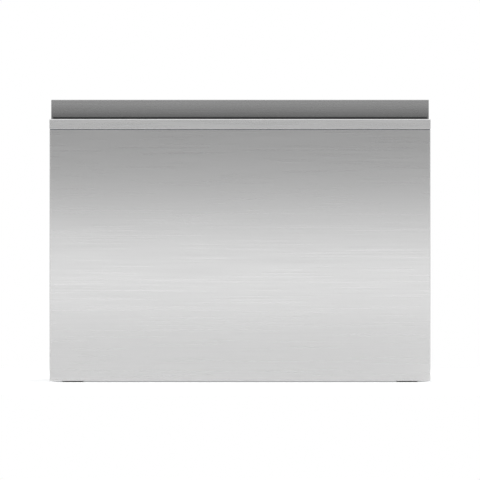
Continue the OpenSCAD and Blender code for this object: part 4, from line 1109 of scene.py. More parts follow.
@dataclass
class FrontPanel:
    """The flat steel front with its folded edges, the pad and the panel behind it, and the strip in the
    shadow joint.

    Attributes:
        half: half the width of the joint strip.
        strip_y: front and rear of the joint strip.
        strip_z: lower and upper edge of the joint strip.
    """

    half: float = 297.4
    strip_y: Flat = (-286.05, -285.25)
    strip_z: Flat = (394.55, 396.05)

    def build(self) -> None:
        """Dresses the sheet, the pad and the panel behind it, and adds the strip."""
        paint(PANEL_STEEL, "door_skin")
        soften("door_skin", 0.25)
        paint(BITUMEN, "acoustic_pad")
        paint(INNER_STEEL, "inner_door_panel")
        strip = Shape("joint_strip")
        strip.box((-self.half, self.half), self.strip_y, self.strip_z)
        strip.hand_over(Body.DRAWER, [JOINT_FOAM], "seal_rubber", round_mm=0.15)


@dataclass
class Handle:
    """The lip that the fingers pull, and the channel behind it, folded from sheet.

    Attributes:
        half: half the width of the lip.
        channel_half: half the width of the channel.
        front_y: front face of the lip.
        lip_t: thickness of the hemmed lip.
        lip_z: lower and upper edge of the lip.
        leaf_y: front and rear face of the leaf under the lip.
        channel: middle of the channel's round bottom, in depth and height.
        radius: inner radius of that bottom.
        sheet_t: thickness of the sheet.
        top_z: upper edge of the back wall.
        liner_t: thickness of the liner.
        liner_z: upper edges of the liner, behind the lip and at the back wall.
        cap_t: thickness of the end caps.
        hem: radius of the hem's lower edges.
        liner_gap: play between the liner and the sheet around it.
        leaf_from: how far above the lip's lower edge the leaf starts.
        leaf_turn: angle at which the channel's outside leaves its round bottom for the leaf.
    """

    half: float = 298.0
    channel_half: float = 295.5
    front_y: float = -286.5
    lip_t: float = 2.5
    lip_z: Flat = (396.1, 411.7)
    leaf_y: Flat = (-285.2, -284.0)
    channel: Flat = (-275.0, 394.0)
    radius: float = 9.0
    sheet_t: float = 1.5
    top_z: float = 442.1
    liner_t: float = 1.1
    liner_z: Flat = (409.0, 415.2)
    cap_t: float = 3.0
    hem: float = 0.5
    liner_gap: float = 0.06
    leaf_from: float = 1.0
    leaf_turn: float = -166.0

    def build(self) -> None:
        """Builds the folded sheet and the dark liner that paints shade into the channel."""
        self.sheet()
        self.shade_liner()

    def sheet(self) -> None:
        """The lip with its round top and hem, and the channel with its back wall."""
        handle = Shape("handle_sheet")
        r, hem = self.lip_t / 2, self.hem
        mid = self.front_y + r
        lip = arc((mid, self.lip_z[1] - r), r, 180, 0, 10)
        lip += arc((self.front_y + self.lip_t - hem, self.lip_z[0] + hem), hem, 0, -90, 4)
        lip += arc((self.front_y + hem, self.lip_z[0] + hem), hem, -90, -180, 4)
        handle.prism(lip, Axis.X, -self.half, self.half, 0)
        y, z = self.channel
        back = y + self.radius
        r = self.sheet_t / 2
        leaf_z = self.lip_z[0] + self.leaf_from
        trough = [(self.leaf_y[1], leaf_z)] + arc(self.channel, self.radius, 180, 360, 24)
        trough += arc((back + r, self.top_z - r), r, 180, 0, 8)
        outer = arc(self.channel, self.radius + self.sheet_t, 0, self.leaf_turn, 24)
        trough += outer + [(self.leaf_y[0], z), (self.leaf_y[0], leaf_z)]
        handle.prism(trough, Axis.X, -self.channel_half, self.channel_half, 1)
        # The lip's paler steel is a painted highlight, the channel's darker steel painted shade.
        handle.hand_over(Body.DRAWER, [LIP_STEEL, CHANNEL_STEEL], "brushed_steel", ("handle_profile",))

    def shade_liner(self) -> None:
        """A dark liner in the bottom of the channel, which the fingertips reach; its dark colour is painted
        shade for the channel's depth.
        """
        shade_liner = Shape("channel_painted_shade_liner")
        y, gap = self.channel[0], self.liner_gap
        outer, inner = self.radius - gap, self.radius - gap - self.liner_t
        tip = self.liner_t / 2
        section = arc(self.channel, outer, 180, 360, 20)
        section += arc((y + outer - tip, self.liner_z[1] - tip), tip, 0, 180, 6)
        section += arc(self.channel, inner, 360, 180, 20)
        section += arc((y - outer + tip, self.liner_z[0] - tip), tip, 0, 180, 6)
        half = self.channel_half - self.cap_t - gap
        shade_liner.prism(section, Axis.X, -half, half)
        # Painted shade: the liner's charcoal colour stands for the shadow in the channel.
        shade_liner.hand_over(Body.DRAWER, [SHADE_LINER_PLASTIC], "dark_plastic")


@dataclass
class RackWires:
    """The wire rack: floor, walls, feet and the clips of what folds on it.

    Attributes:
        half: outer half width.
        y: outer front and rear.
        floor_z: middle of the wires that run across.
        cross_z: middle of the wires that run along.
        frame_z: middle of the frame wire around the floor.
        rail_z: middle of the top rail.
        wire_r: radius of the thin wires.
        frame_r: radius of the frame wires.
        corner: corner radius of the frame.
        bend: bending radius where a wire turns from the floor into a wall.
        stand_z: height on which the feet stand.
        rod_z: height of the tine rods.
        tine_y: place of the two tine rods.
        clip_x: place of the outer clips.
        hinge: place of the shelf hinges, across and up.
        hinge_y: place of the shelf clips.
        wires: how many thin wires run each way.
        margin: how far past the rack's ends the even spacing of the cross wires begins.
        sink: how far a wire's end sinks into the top rail, as a share of the rail's radius.
        girdle_out: how far the middle wire lies outside the rails.
        foot_in: how far the feet stand inside the frame.
        foot_y: distances of a foot's two legs from the frame's front or rear.
        clip: radius and half width of a clip.
        clip_lap: how far a shelf clip reaches under the middle of the rail.
    """

    half: float = 246.0
    y: Flat = (-191.0, 220.0)
    floor_z: float = 132.0
    cross_z: float = 134.2
    frame_z: float = 133.7
    rail_z: float = 238.7
    wire_r: float = 1.7
    frame_r: float = 2.4
    corner: float = 20.0
    bend: float = 6.0
    stand_z: float = 103.0
    rod_z: float = 142.0
    tine_y: Flat = (31.0, 131.0)
    clip_x: float = 210.857
    hinge: Flat = (241.0, 246.7)
    hinge_y: Flat = (-73.5, 115.5)
    wires: int = 13
    margin: float = 15.0
    sink: float = 0.6
    girdle_out: float = 1.0
    foot_in: float = 1.5
    foot_y: Flat = (26.0, 58.0)
    clip: Flat = (4.5, 4.0)
    clip_lap: float = 1.0

    def build(self) -> None:
        """Builds the rack as one welded and dipped piece, with its moulded clips."""
        rack = Shape("wire_rack")
        edge_x = self.half - self.frame_r
        edge_y = (self.y[0] + self.frame_r, self.y[1] - self.frame_r)
        for z in (self.frame_z, self.rail_z):
            rack.tube(rounded_loop(edge_x, edge_y, self.corner, z), self.frame_r, closed=True, sides=12)
        middle_z = (self.frame_z + self.rail_z) / 2
        out = self.girdle_out
        girdle = rounded_loop(edge_x + out, (edge_y[0] - out, edge_y[1] + out), self.corner, middle_z)
        rack.tube(girdle, self.wire_r, closed=True)
        top = self.rail_z - self.frame_r * self.sink
        for y in spaced(self.y[0] - self.margin, self.y[1] + self.margin, self.wires):
            wire = [(x, y, z) for x, z in self.hanger((-edge_x, edge_x), top, self.floor_z)]
            rack.tube(bent(wire, self.bend), self.wire_r)
        for x in spaced(-self.half, self.half, self.wires):
            wire = [(x, y, z) for y, z in self.hanger(edge_y, top, self.cross_z)]
            rack.tube(bent(wire, self.bend), self.wire_r)
        self.feet(rack, edge_x, edge_y)
        self.clips(rack)
        rack.hand_over(Body.DRAWER, [RACK_WIRE, CLIP_PLASTIC], "wire_coating", ("rack_base", "rack_walls"))

    def hanger(self, ends: Flat, top: float, low: float) -> list[Flat]:
        """Corners of a wire that comes down at one end, runs across and goes up at the other."""
        return [(ends[0], top), (ends[0], low), (ends[1], low), (ends[1], top)]

    def feet(self, rack: Shape, edge_x: float, edge_y: Flat) -> None:
        """Four bent wire feet under the frame.

        Args:
            rack: the rack that they are welded to.
            edge_x: middle of the frame wire at the sides.
            edge_y: middle of the frame wire at the front and at the rear.
        """
        near, away = self.foot_y
        for x in (-edge_x + self.foot_in, edge_x - self.foot_in):
            for ends in ((edge_y[0] + near, edge_y[0] + away), (edge_y[1] - away, edge_y[1] - near)):
                corners = self.hanger(ends, self.frame_z, self.stand_z + self.wire_r)
                rack.tube(bent([(x, y, z) for y, z in corners], self.bend), self.wire_r)

    def clips(self, rack: Shape) -> None:
        """Moulded clips that hold the tine rods and the shelf hinges.

        Args:
            rack: the rack that they sit on.
        """
        half = self.clip[1]
        for y in self.tine_y:
            outline = self.saddle((y, self.rod_z), self.frame_z)
            for x in (-self.clip_x, 0.0, self.clip_x):
                rack.prism(outline, Axis.X, x - half, x + half, 1)
        for x in (-self.hinge[0], self.hinge[0]):
            outline = self.saddle((x, self.hinge[1]), self.rail_z - self.clip_lap)
            for y in self.hinge_y:
                rack.prism(outline, Axis.Y, y - half, y + half, 1)

    def saddle(self, centre: Flat, base: float) -> list[Flat]:
        """Outline of a clip: round over its rod, with two straight flanks down to a base.

        Args:
            centre: middle of the rod.
            base: height of the clip's foot.

        Returns:
            Its points in order.
        """
        radius = self.clip[0]
        dome = arc(centre, radius, 180, 0, 10)
        return [(centre[0] - radius, base)] + dome + [(centre[0] + radius, base)]


@dataclass
class TineRows:
    """Two rows of plate tines, each welded to a rod that turns in the rack's clips.

    Attributes:
        y: place of each rod.
        rod_z: height of the rods.
        rod_half: half the length of a rod.
        rod_r: radius of a rod.
        tine_r: radius of a tine.
        tip_z: height of the tips.
        pitch: distance between two tines.
        per_side: tines on each side of the middle.
        tip: length that the round tips of rods and tines add.
    """

    y: Flat = (31.0, 131.0)
    rod_z: float = 142.0
    rod_half: float = 215.857
    rod_r: float = 2.0
    tine_r: float = 1.6
    tip_z: float = 232.0
    pitch: float = 30.0
    per_side: int = 7
    tip: float = 1.0

    def build(self) -> None:
        """Builds both rows."""
        rows = ((Body.FRONT_TINES, "tine_row_front"), (Body.REAR_TINES, "tine_row_rear"))
        for y, (body, node) in zip(self.y, rows):
            row = Shape(node.replace("tine_row", "plate_tines"))
            end = self.rod_half - self.tip
            row.tube([Vector((-end, y, self.rod_z)), Vector((end, y, self.rod_z))], self.rod_r, sides=12)
            for side in (-1, 1):
                for i in range(self.per_side):
                    x = side * self.pitch * (i + 0.5)
                    tine = [Vector((x, y, self.rod_z)), Vector((x, y, self.tip_z - self.tip))]
                    row.tube(tine, self.tine_r)
            row.hand_over(body, [RACK_WIRE], "wire_coating", (node,))


@dataclass
class CupShelves:
    """Two wire shelves for cups, hinged above the side walls of the rack.

    Attributes:
        hinge_x: place of the hinge rod.
        hinge_z: its height.
        depth: how far a shelf reaches in.
        y: its two ends.
        rod_r: radius of the hinge rod.
        edge_r: radius of the bent edge wire.
        wire_r: radius of the thin wires.
        wires: how many thin wires it has.
        corner: corner radius of the edge wire.
        tip: length that the round tips of rods and wires add.
        edge_in: distance of the edge wire from the shelf's ends.
        margin: how far past the shelf's ends the even spacing of the thin wires begins.
        dip: distance of a thin wire's dip from the hinge and from the edge wire, and its depth.
        dip_bend: bending radius at the dip.
    """

    hinge_x: float = 241.0
    hinge_z: float = 246.7
    depth: float = 90.0
    y: Flat = (-99.0, 141.0)
    rod_r: float = 2.0
    edge_r: float = 2.0
    wire_r: float = 1.6
    wires: int = 9
    corner: float = 16.0
    tip: float = 1.0
    edge_in: float = 12.0
    margin: float = 15.0
    dip: Point = (18.0, 14.0, 1.2)
    dip_bend: float = 12.0

    def build(self) -> None:
        """Builds both shelves."""
        shelves = ((-1, Body.LEFT_SHELF, "cup_rack_left"), (1, Body.RIGHT_SHELF, "cup_rack_right"))
        for side, body, node in shelves:
            shelf = Shape(node.replace("cup_rack", "cup_shelf"))
            x, z = side * self.hinge_x, self.hinge_z
            inner = side * (self.hinge_x - self.depth)
            front, rear = self.y
            ends = [Vector((x, front + self.tip, z)), Vector((x, rear - self.tip, z))]
            shelf.tube(ends, self.rod_r, sides=12)
            front, rear = front + self.edge_in, rear - self.edge_in
            edge = [(x, front, z), (inner, front, z), (inner, rear, z), (x, rear, z)]
            shelf.tube(bent(edge, self.corner, steps=8), self.edge_r, sides=12)
            middle = (x + inner) / 2
            ends = [Vector((middle, front + self.tip, z)), Vector((middle, rear - self.tip, z))]
            shelf.tube(ends, self.wire_r)
            low = z - self.dip[2]
            for y in spaced(self.y[0] - self.margin, self.y[1] + self.margin, self.wires):
                wire = [(x, y, z), (x - side * self.dip[0], y, low)]
                wire += [(inner + side * self.dip[1], y, low), (inner, y, z)]
                shelf.tube(bent(wire, self.dip_bend), self.wire_r)
            shelf.hand_over(body, [RACK_WIRE], "wire_coating", (node,))


@dataclass
class SprayArm:
    """The moulded spray arm: two hollow blades that taper outwards, and a hub that turns on the spindle.

    Attributes:
        centre: middle of the hub.
        reach: distance from the middle to a blade's tip.
        root_w: width of a blade at the hub.
        tip_w: width of a blade at its tip.
        z: underside and top of the blades.
        tip_drop: how much thinner a blade is at its tip.
        hub_r: radius of the hub.
        hub_z: underside of the hub.
        bore_r: radius of its bore.
        bore_z: top of its bore.
        root_x: distance from the middle at which a blade starts, inside the hub.
        square: how square the blades' sections are, across and up: one is round, zero a box.
        jets: nozzles on each blade.
        jet_x: place of the first nozzle, and the distance to the next.
        jet_shift: how far each nozzle is set off sideways from the one before.
        jet_r: radius of a jet hole, and of its raised ring at the foot and at the top.
        jet_z: top of a jet's ring and of its hole, and how far both reach down, from the blade's top.
    """

    centre: Flat = (0.0, 11.0)
    reach: float = 195.0
    root_w: float = 46.0
    tip_w: float = 26.0
    z: Flat = (114.0, 126.0)
    tip_drop: float = 4.0
    hub_r: float = 24.0
    hub_z: float = 106.5
    bore_r: float = 17.06
    bore_z: float = 124.0
    root_x: float = 12.0
    square: Flat = (0.55, 0.7)
    jets: int = 4
    jet_x: Flat = (60.0, 34.0)
    jet_shift: float = 4.0
    jet_r: Point = (2.0, 4.4, 3.4)
    jet_z: Point = (0.4, 0.1, -1.2)

    def build(self) -> None:
        """Builds the blades, the hub and the nozzles as one piece."""
        arm = Shape("wash_arm")
        for side in (-1, 1):
            self.blade(arm, side)
            for i in range(self.jets):
                x = self.jet_x[0] + self.jet_x[1] * i
                self.nozzle(arm, side * x, side * self.jet_shift * (i - 1))
        top, radius, dimple = self.z[1], self.hub_r, self.z[1] - 1.2
        hub = [(self.bore_r, self.hub_z), (radius - 1, self.hub_z), (radius, self.hub_z + 1)]
        hub += [(radius, top - 2.5), (radius - 0.8, top - 0.8), (radius - 2.5, top)]
        hub += [(15.0, top), (14.0, dimple), (0.0, dimple), (0.0, self.bore_z), (self.bore_r, self.bore_z)]
        arm.lathe(hub, (self.centre[0], self.centre[1], 0.0))
        arm.hand_over(Body.WASH_ARM, [GREY_PLASTIC, DARK_PLASTIC], "grey_plastic", ("spray_arm",), sharp=50.0)

    def blade(self, arm: Shape, side: int) -> None:
        """One blade, drawn as sections that shrink towards a round tip.

        Args:
            arm: the arm that it belongs to.
            side: -1 for the left blade, 1 for the right one.
        """
        tip = self.tip_w / 2
        straight = self.reach - tip - self.root_x
        stops = [self.root_x + straight * i / 12 for i in range(13)]
        stops += [self.reach - tip + tip * share for share in (0.3, 0.55, 0.75, 0.9, 0.98)]
        sections = []
        for x in stops:
            share = min((x - self.root_x) / straight, 1.0)
            width = self.root_w + (self.tip_w - self.root_w) * share
            height = self.z[1] - self.z[0] - self.tip_drop * share
            if x > self.reach - tip:
                share = (x - self.reach + tip) / tip
                curve = math.sqrt(max(1 - share**2, 0.02))
                width *= curve
                height *= 0.35 + 0.65 * curve
            sections.append(self.section(side * x, width, height))
        arm.loft(sections)

    def section(self, x: float, width: float, height: float, sides: int = 28) -> list[Vector]:
        """Outline of a blade at one distance from the middle: a softened box.

        Args:
            x: the distance, negative to the left.
            width: its full width.
            height: its full height.
            sides: points around it.

        Returns:
            Its points in order.
        """
        middle = self.z[0] + (self.z[1] - self.z[0]) / 2
        points = []
        for k in range(sides):
            angle = 2 * math.pi * k / sides
            cos, sin = math.cos(angle), math.sin(angle)
            across = math.copysign(abs(cos) ** self.square[0], cos) * width / 2
            up = math.copysign(abs(sin) ** self.square[1], sin) * height / 2
            points.append(Vector((self.centre[0] + x, self.centre[1] + across, middle + up)))
        return points

    def nozzle(self, arm: Shape, x: float, y: float) -> None:
        """A raised ring with a dark jet hole.

        Args:
            arm: the arm that it belongs to.
            x: its place along the blade, negative to the left.
            y: its place across the blade.
        """
        share = (abs(x) - self.root_x) / (self.reach - self.root_x)
        top = self.z[1] - self.tip_drop / 2 * share
        ring_z, jet_z, low = (top + z for z in self.jet_z)
        radius, foot, rim = self.jet_r
        place = (self.centre[0] + x, self.centre[1] + y, 0.0)
        arm.lathe([(radius, low), (foot, low), (rim, ring_z), (radius, ring_z)], place, sides=20)
        jet = [(0.0, low), (radius, low), (radius, jet_z), (0.0, jet_z)]
        arm.lathe(jet, place, sides=20, material=1)


@dataclass
class Tub:
    """The moulded tub: round corners and floor edges, a rim for the lid's seal, the sump and the openings.

    Attributes:
        half: outer half width.
        y: outer front and rear.
        corner: outer radius of the upright corners.
        wall: wall thickness.
        bottom_z: underside of the floor.
        rim_z: top of the rim.
        rim: width and thickness of the rim.
        outer_round: radius under the floor's outer edge.
        inner_round: radius where the floor meets the walls.
        ledge_z: height of the shallow ledge around the walls.
        ledge: depth of that ledge.
        sump_z: underside of the sump.
        wells: place along the depth and outer radius of the two round wells.
        dispenser: sides, bottom and top of the opening for the detergent dispenser.
        duct: place across, height and radius of the air duct.
        shaft_r: radius of the pump shaft's hole.
        leg_r: radius of the holes for the heater's legs.
        leg_ring: radius on which these stand.
        leg_turns: their angles.
        rim_edge: radius of the rim's outer edges.
        rim_ease: how far the rim's inner edge is eased, and how far its corner is cut.
        past: how far what is cut out goes past a wall, and past a floor that it runs into.
    """

    half: float = 262.0
    y: Flat = (-213.0, 235.0)
    corner: float = 42.0
    wall: float = 3.0
    bottom_z: float = 100.0
    rim_z: float = 396.0
    rim: Flat = (10.0, 4.0)
    outer_round: float = 15.0
    inner_round: float = 12.0
    ledge_z: float = 352.0
    ledge: float = 0.8
    sump_z: float = 66.0
    wells: tuple[Flat, ...] = ((11.0, 50.0), (85.0, 34.0))
    dispenser: tuple[float, float, float, float] = (-92.2, 34.2, 261.8, 328.2)
    duct: Point = (-175.0, 325.0, 13.0)
    shaft_r: float = 4.06
    leg_r: float = 2.25
    leg_ring: float = 43.0
    leg_turns: Flat = (200.0, 340.0)
    rim_edge: float = 1.3
    rim_ease: Flat = (1.4, 0.4)
    past: Flat = (2.0, 1.0)

    def level(self, inset: float, z: float) -> list[Vector]:
        """The tub's outline at one height, moved inwards by an inset."""
        y = (self.y[0] + inset, self.y[1] - inset)
        return rounded_loop(self.half - inset, y, self.corner - inset, z)

    def cove(self, inset: float, radius: float, z: float) -> list[list[Vector]]:
        """Sections that round the edge between a floor and the walls."""
        turns = (math.radians(90 * i / 6) for i in range(7))
        return [self.level(inset + radius * (1 - math.sin(a)), z + radius * (1 - math.cos(a))) for a in turns]

    def build(self) -> None:
        """Builds the tub as one moulding."""
        tub, hollow = Shape("wash_tub"), Shape("wash_tub_hollow")
        width, thick = self.rim
        edge = self.rim_edge
        under = self.rim_z - thick
        sections = self.cove(0.0, self.outer_round, self.bottom_z)
        sections += [self.level(0.0, under - 2), self.level(-0.6, under - 0.6), self.level(-2.0, under)]
        for centre_z, start in ((under + edge, -90), (self.rim_z - edge, 0)):
            bend = arc((0.0, centre_z), edge, start, start + 90, 4)
            sections += [self.level(edge - width - out, z) for out, z in bend]
        tub.loft(sections)
        floor_z = self.bottom_z + self.wall
        sections = self.cove(self.wall, self.inner_round, floor_z)
        out = self.wall - self.ledge
        sections += [self.level(self.wall, self.ledge_z), self.level(out, self.ledge_z + 1.2)]
        ease, cut = self.rim_ease
        sections += [self.level(out, self.rim_z - ease), self.level(out - cut, self.rim_z - cut)]
        sections += [self.level(out - ease, self.rim_z), self.level(out - ease, self.rim_z + 5)]
        hollow.loft(sections)
        for y, radius in self.wells:
            tub.rod((0.0, y), radius, Axis.Z, self.sump_z, self.bottom_z + self.past[1])
            inner = radius - self.wall
            hollow.rod((0.0, y), inner, Axis.Z, self.sump_z + self.wall, floor_z + self.past[1])
        self.openings(hollow)
        tub.carve(hollow)
        tub.hand_over(Body.DRAWER, [TUB_PLASTIC], "tub_plastic", ("tub",), sharp=32.0)

    def openings(self, hollow: Shape) -> None:
        """Adds what is cut through the walls and through the sump.

        Args:
            hollow: the shape that is cut out of the tub.
        """
        wall_past, floor_past = self.past
        left, right, low, high = self.dispenser
        front = (self.y[0] - wall_past, self.y[0] + self.wall + wall_past)
        hollow.box((left, right), front, (low, high))
        x, z, radius = self.duct
        hollow.rod((x, z), radius, Axis.Y, *front)
        through = (self.sump_z - wall_past, self.sump_z + self.wall + floor_past)
        middle_y = self.wells[0][0]
        hollow.rod((0.0, middle_y), self.shaft_r, Axis.Z, *through)
        for turn in self.leg_turns:
            angle = math.radians(turn)
            place = (self.leg_ring * math.cos(angle), middle_y + self.leg_ring * math.sin(angle))
            hollow.rod(place, self.leg_r, Axis.Z, *through)


@dataclass
class Screws:
    """Pan-head screws with a cross recess, in the cabinet's top and in the inner panel of the door.

    Attributes:
        top_x: distance of the upper screws from the middle.
        top_y: their places along the depth.
        top_z: the sheet on which their heads lie.
        door_x: distance of the door's screws from the middle.
        door_z: their heights.
        door_y: the sheet on which their heads lie.
        head: radius and height of a head.
        shank: radius and length of a shank.
        recess: length, width and depth of the cross.
        rim_h: height of the head's upright rim.
        dome: angles of the points drawn on the head's dome.
        tip_h: height of the point at the shank's end.
    """

    top_x: float = 287.0
    top_y: tuple[float, ...] = (-210.0, -60.0, 130.0, 270.5)
    top_z: float = 439.0
    door_x: float = 270.0
    door_z: tuple[float, ...] = (40.0, 150.0, 250.0, 360.0)
    door_y: float = -267.0
    head: Flat = (3.6, 1.8)
    shank: Flat = (1.9, 9.0)
    recess: Point = (4.2, 0.9, 1.1)
    rim_h: float = 0.5
    dome: tuple[float, ...] = (0.0, 0.35, 0.7, 1.05, 1.35)
    tip_h: float = 1.5

    def build(self) -> None:
        """Builds both sets."""
        upper = [(x, y, self.top_z) for x in (-self.top_x, self.top_x) for y in self.top_y]
        self.group("cabinet_screws", upper, Axis.Z, Body.CABINET, "chassis_screws")
        rear = [(x, self.door_y, z) for x in (-self.door_x, self.door_x) for z in self.door_z]
        self.group("panel_screws", rear, Axis.Y, Body.DRAWER, "door_screws")

    def group(self, name: str, places: list[Point], axis: Axis, body: Body, node: str) -> None:
        """One set of screws that all point the same way.

        Args:
            name: name of the new piece.
            places: middle of each head's underside.
            axis: direction that the heads face.
            body: body that the set moves with.
            node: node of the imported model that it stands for.
        """
        screws, crosses = Shape(name), Shape(name + "_crosses")
        radius, height = self.head
        length, width, depth = self.recess
        shank_r, shank_h = self.shank
        profile = [(CORE, -shank_h), (shank_r * 0.5, -shank_h), (shank_r, self.tip_h - shank_h)]
        profile += [(shank_r, 0.0), (radius, 0.0)]
        swell = height - self.rim_h
        profile += [(radius * math.cos(a), self.rim_h + swell * math.sin(a)) for a in self.dome]
        for place in places:
            screws.lathe(profile + [(CORE, height)], place, axis, sides=24)
            top = place[axis.value] + height
            for size in ((length, width), (width, length)):
                spans = [(at - part / 2, at + part / 2) for at, part in zip(self.flat(place, axis), size)]
                spans.insert(axis.value, (top - depth, top + 1))
                crosses.box(*spans)
        screws.carve(crosses)
        screws.hand_over(body, [SCREW_STEEL], "screw_steel", (node,), sharp=30.0)

    def flat(self, place: Point, axis: Axis) -> Flat:
        """The two coordinates across an axis."""
        kept = [value for i, value in enumerate(place) if i != axis.value]
        return kept[0], kept[1]


@dataclass
class Feet:
    """Levelling feet: a scalloped disc for the fingers and a threaded stem.

    Attributes:
        x: distance from the middle.
        y: front and rear pair.
        radius: radius of the disc.
        disc_h: height of the disc.
        stem_r: radius of the stem.
        stem_h: length of the stem.
        pitch: pitch of the thread, drawn as rings.
        scallops: grip hollows around the disc.
        scallop: depth of a grip hollow.
        disc_z: underside of the disc.
        pad_in: how far the pad under the disc lies inside its edge, at the pad's foot and above.
        pad_z: heights at which the pad's flank begins and at which it ends inside the disc.
        thread_h: height of the thread, root to crest.
        lead: length of the plain stem before the thread, and of its chamfer after it.
    """

    x: float = 262.0
    y: Flat = (-235.0, 255.0)
    radius: float = 18.0
    disc_h: float = 4.0
    stem_r: float = 4.0
    stem_h: float = 42.0
    pitch: float = 1.5
    scallops: int = 16
    scallop: float = 0.9
    disc_z: float = 0.9
    pad_in: Flat = (3.0, 1.9)
    pad_z: Flat = (0.5, 1.2)
    thread_h: float = 0.7
    lead: float = 0.8

    def build(self) -> None:
        """Builds the four feet."""
        feet = (
            (Body.FRONT_LEFT_FOOT, "foot_front_left", -self.x, self.y[0]),
            (Body.FRONT_RIGHT_FOOT, "foot_front_right", self.x, self.y[0]),
            (Body.REAR_LEFT_FOOT, "foot_rear_left", -self.x, self.y[1]),
            (Body.REAR_RIGHT_FOOT, "foot_rear_right", self.x, self.y[1]),
        )
        for body, node, x, y in feet:
            foot = Shape(node.replace("foot", "levelling_foot"))
            count = self.scallops * 6
            turns = [2 * math.pi * k / count for k in range(count)]
            dips = [(0.5 - 0.5 * math.cos(self.scallops * turn)) ** 3 for turn in turns]
            grip = [self.radius - self.scallop * dip for dip in dips]
            rim = [(x + r * math.cos(a), y + r * math.sin(a)) for r, a in zip(grip, turns)]
            foot.prism(rim, Axis.Z, self.disc_z, self.disc_h)
            foot.lathe(self.pad(), (x, y, 0.0))
            foot.lathe(self.thread(), (x, y, 0.0), sides=24)
            foot.hand_over(body, [FOOT_PLASTIC], "foot_plastic", (node,), round_mm=0.3)

    def pad(self) -> list[Flat]:
        """Section of the round pad that stands on the floor.

        Returns:
            Radius and height of its points.
        """
        (low_in, flank_in), (edge, top) = self.pad_in, self.pad_z
        flank = self.radius - flank_in
        return [(CORE, 0.0), (self.radius - low_in, 0.0), (flank, edge), (flank, top), (CORE, top)]

    def thread(self) -> list[Flat]:
        """Section of the stem, with a ring for each turn of its thread.

        Returns:
            Radius and height of its points.
        """
        top = self.disc_h + self.stem_h
        root = self.stem_r - self.thread_h
        base = self.disc_h - 0.5
        profile = [(CORE, base), (root, base)]
        for i in range(int(self.stem_h / self.pitch) - 1):
            z = self.disc_h + self.lead + i * self.pitch
            profile += [(root, z), (self.stem_r, z + self.pitch * 0.4), (self.stem_r, z + self.pitch * 0.6)]
        return profile + [(root, top - self.lead), (root - 0.6, top), (CORE, top)]


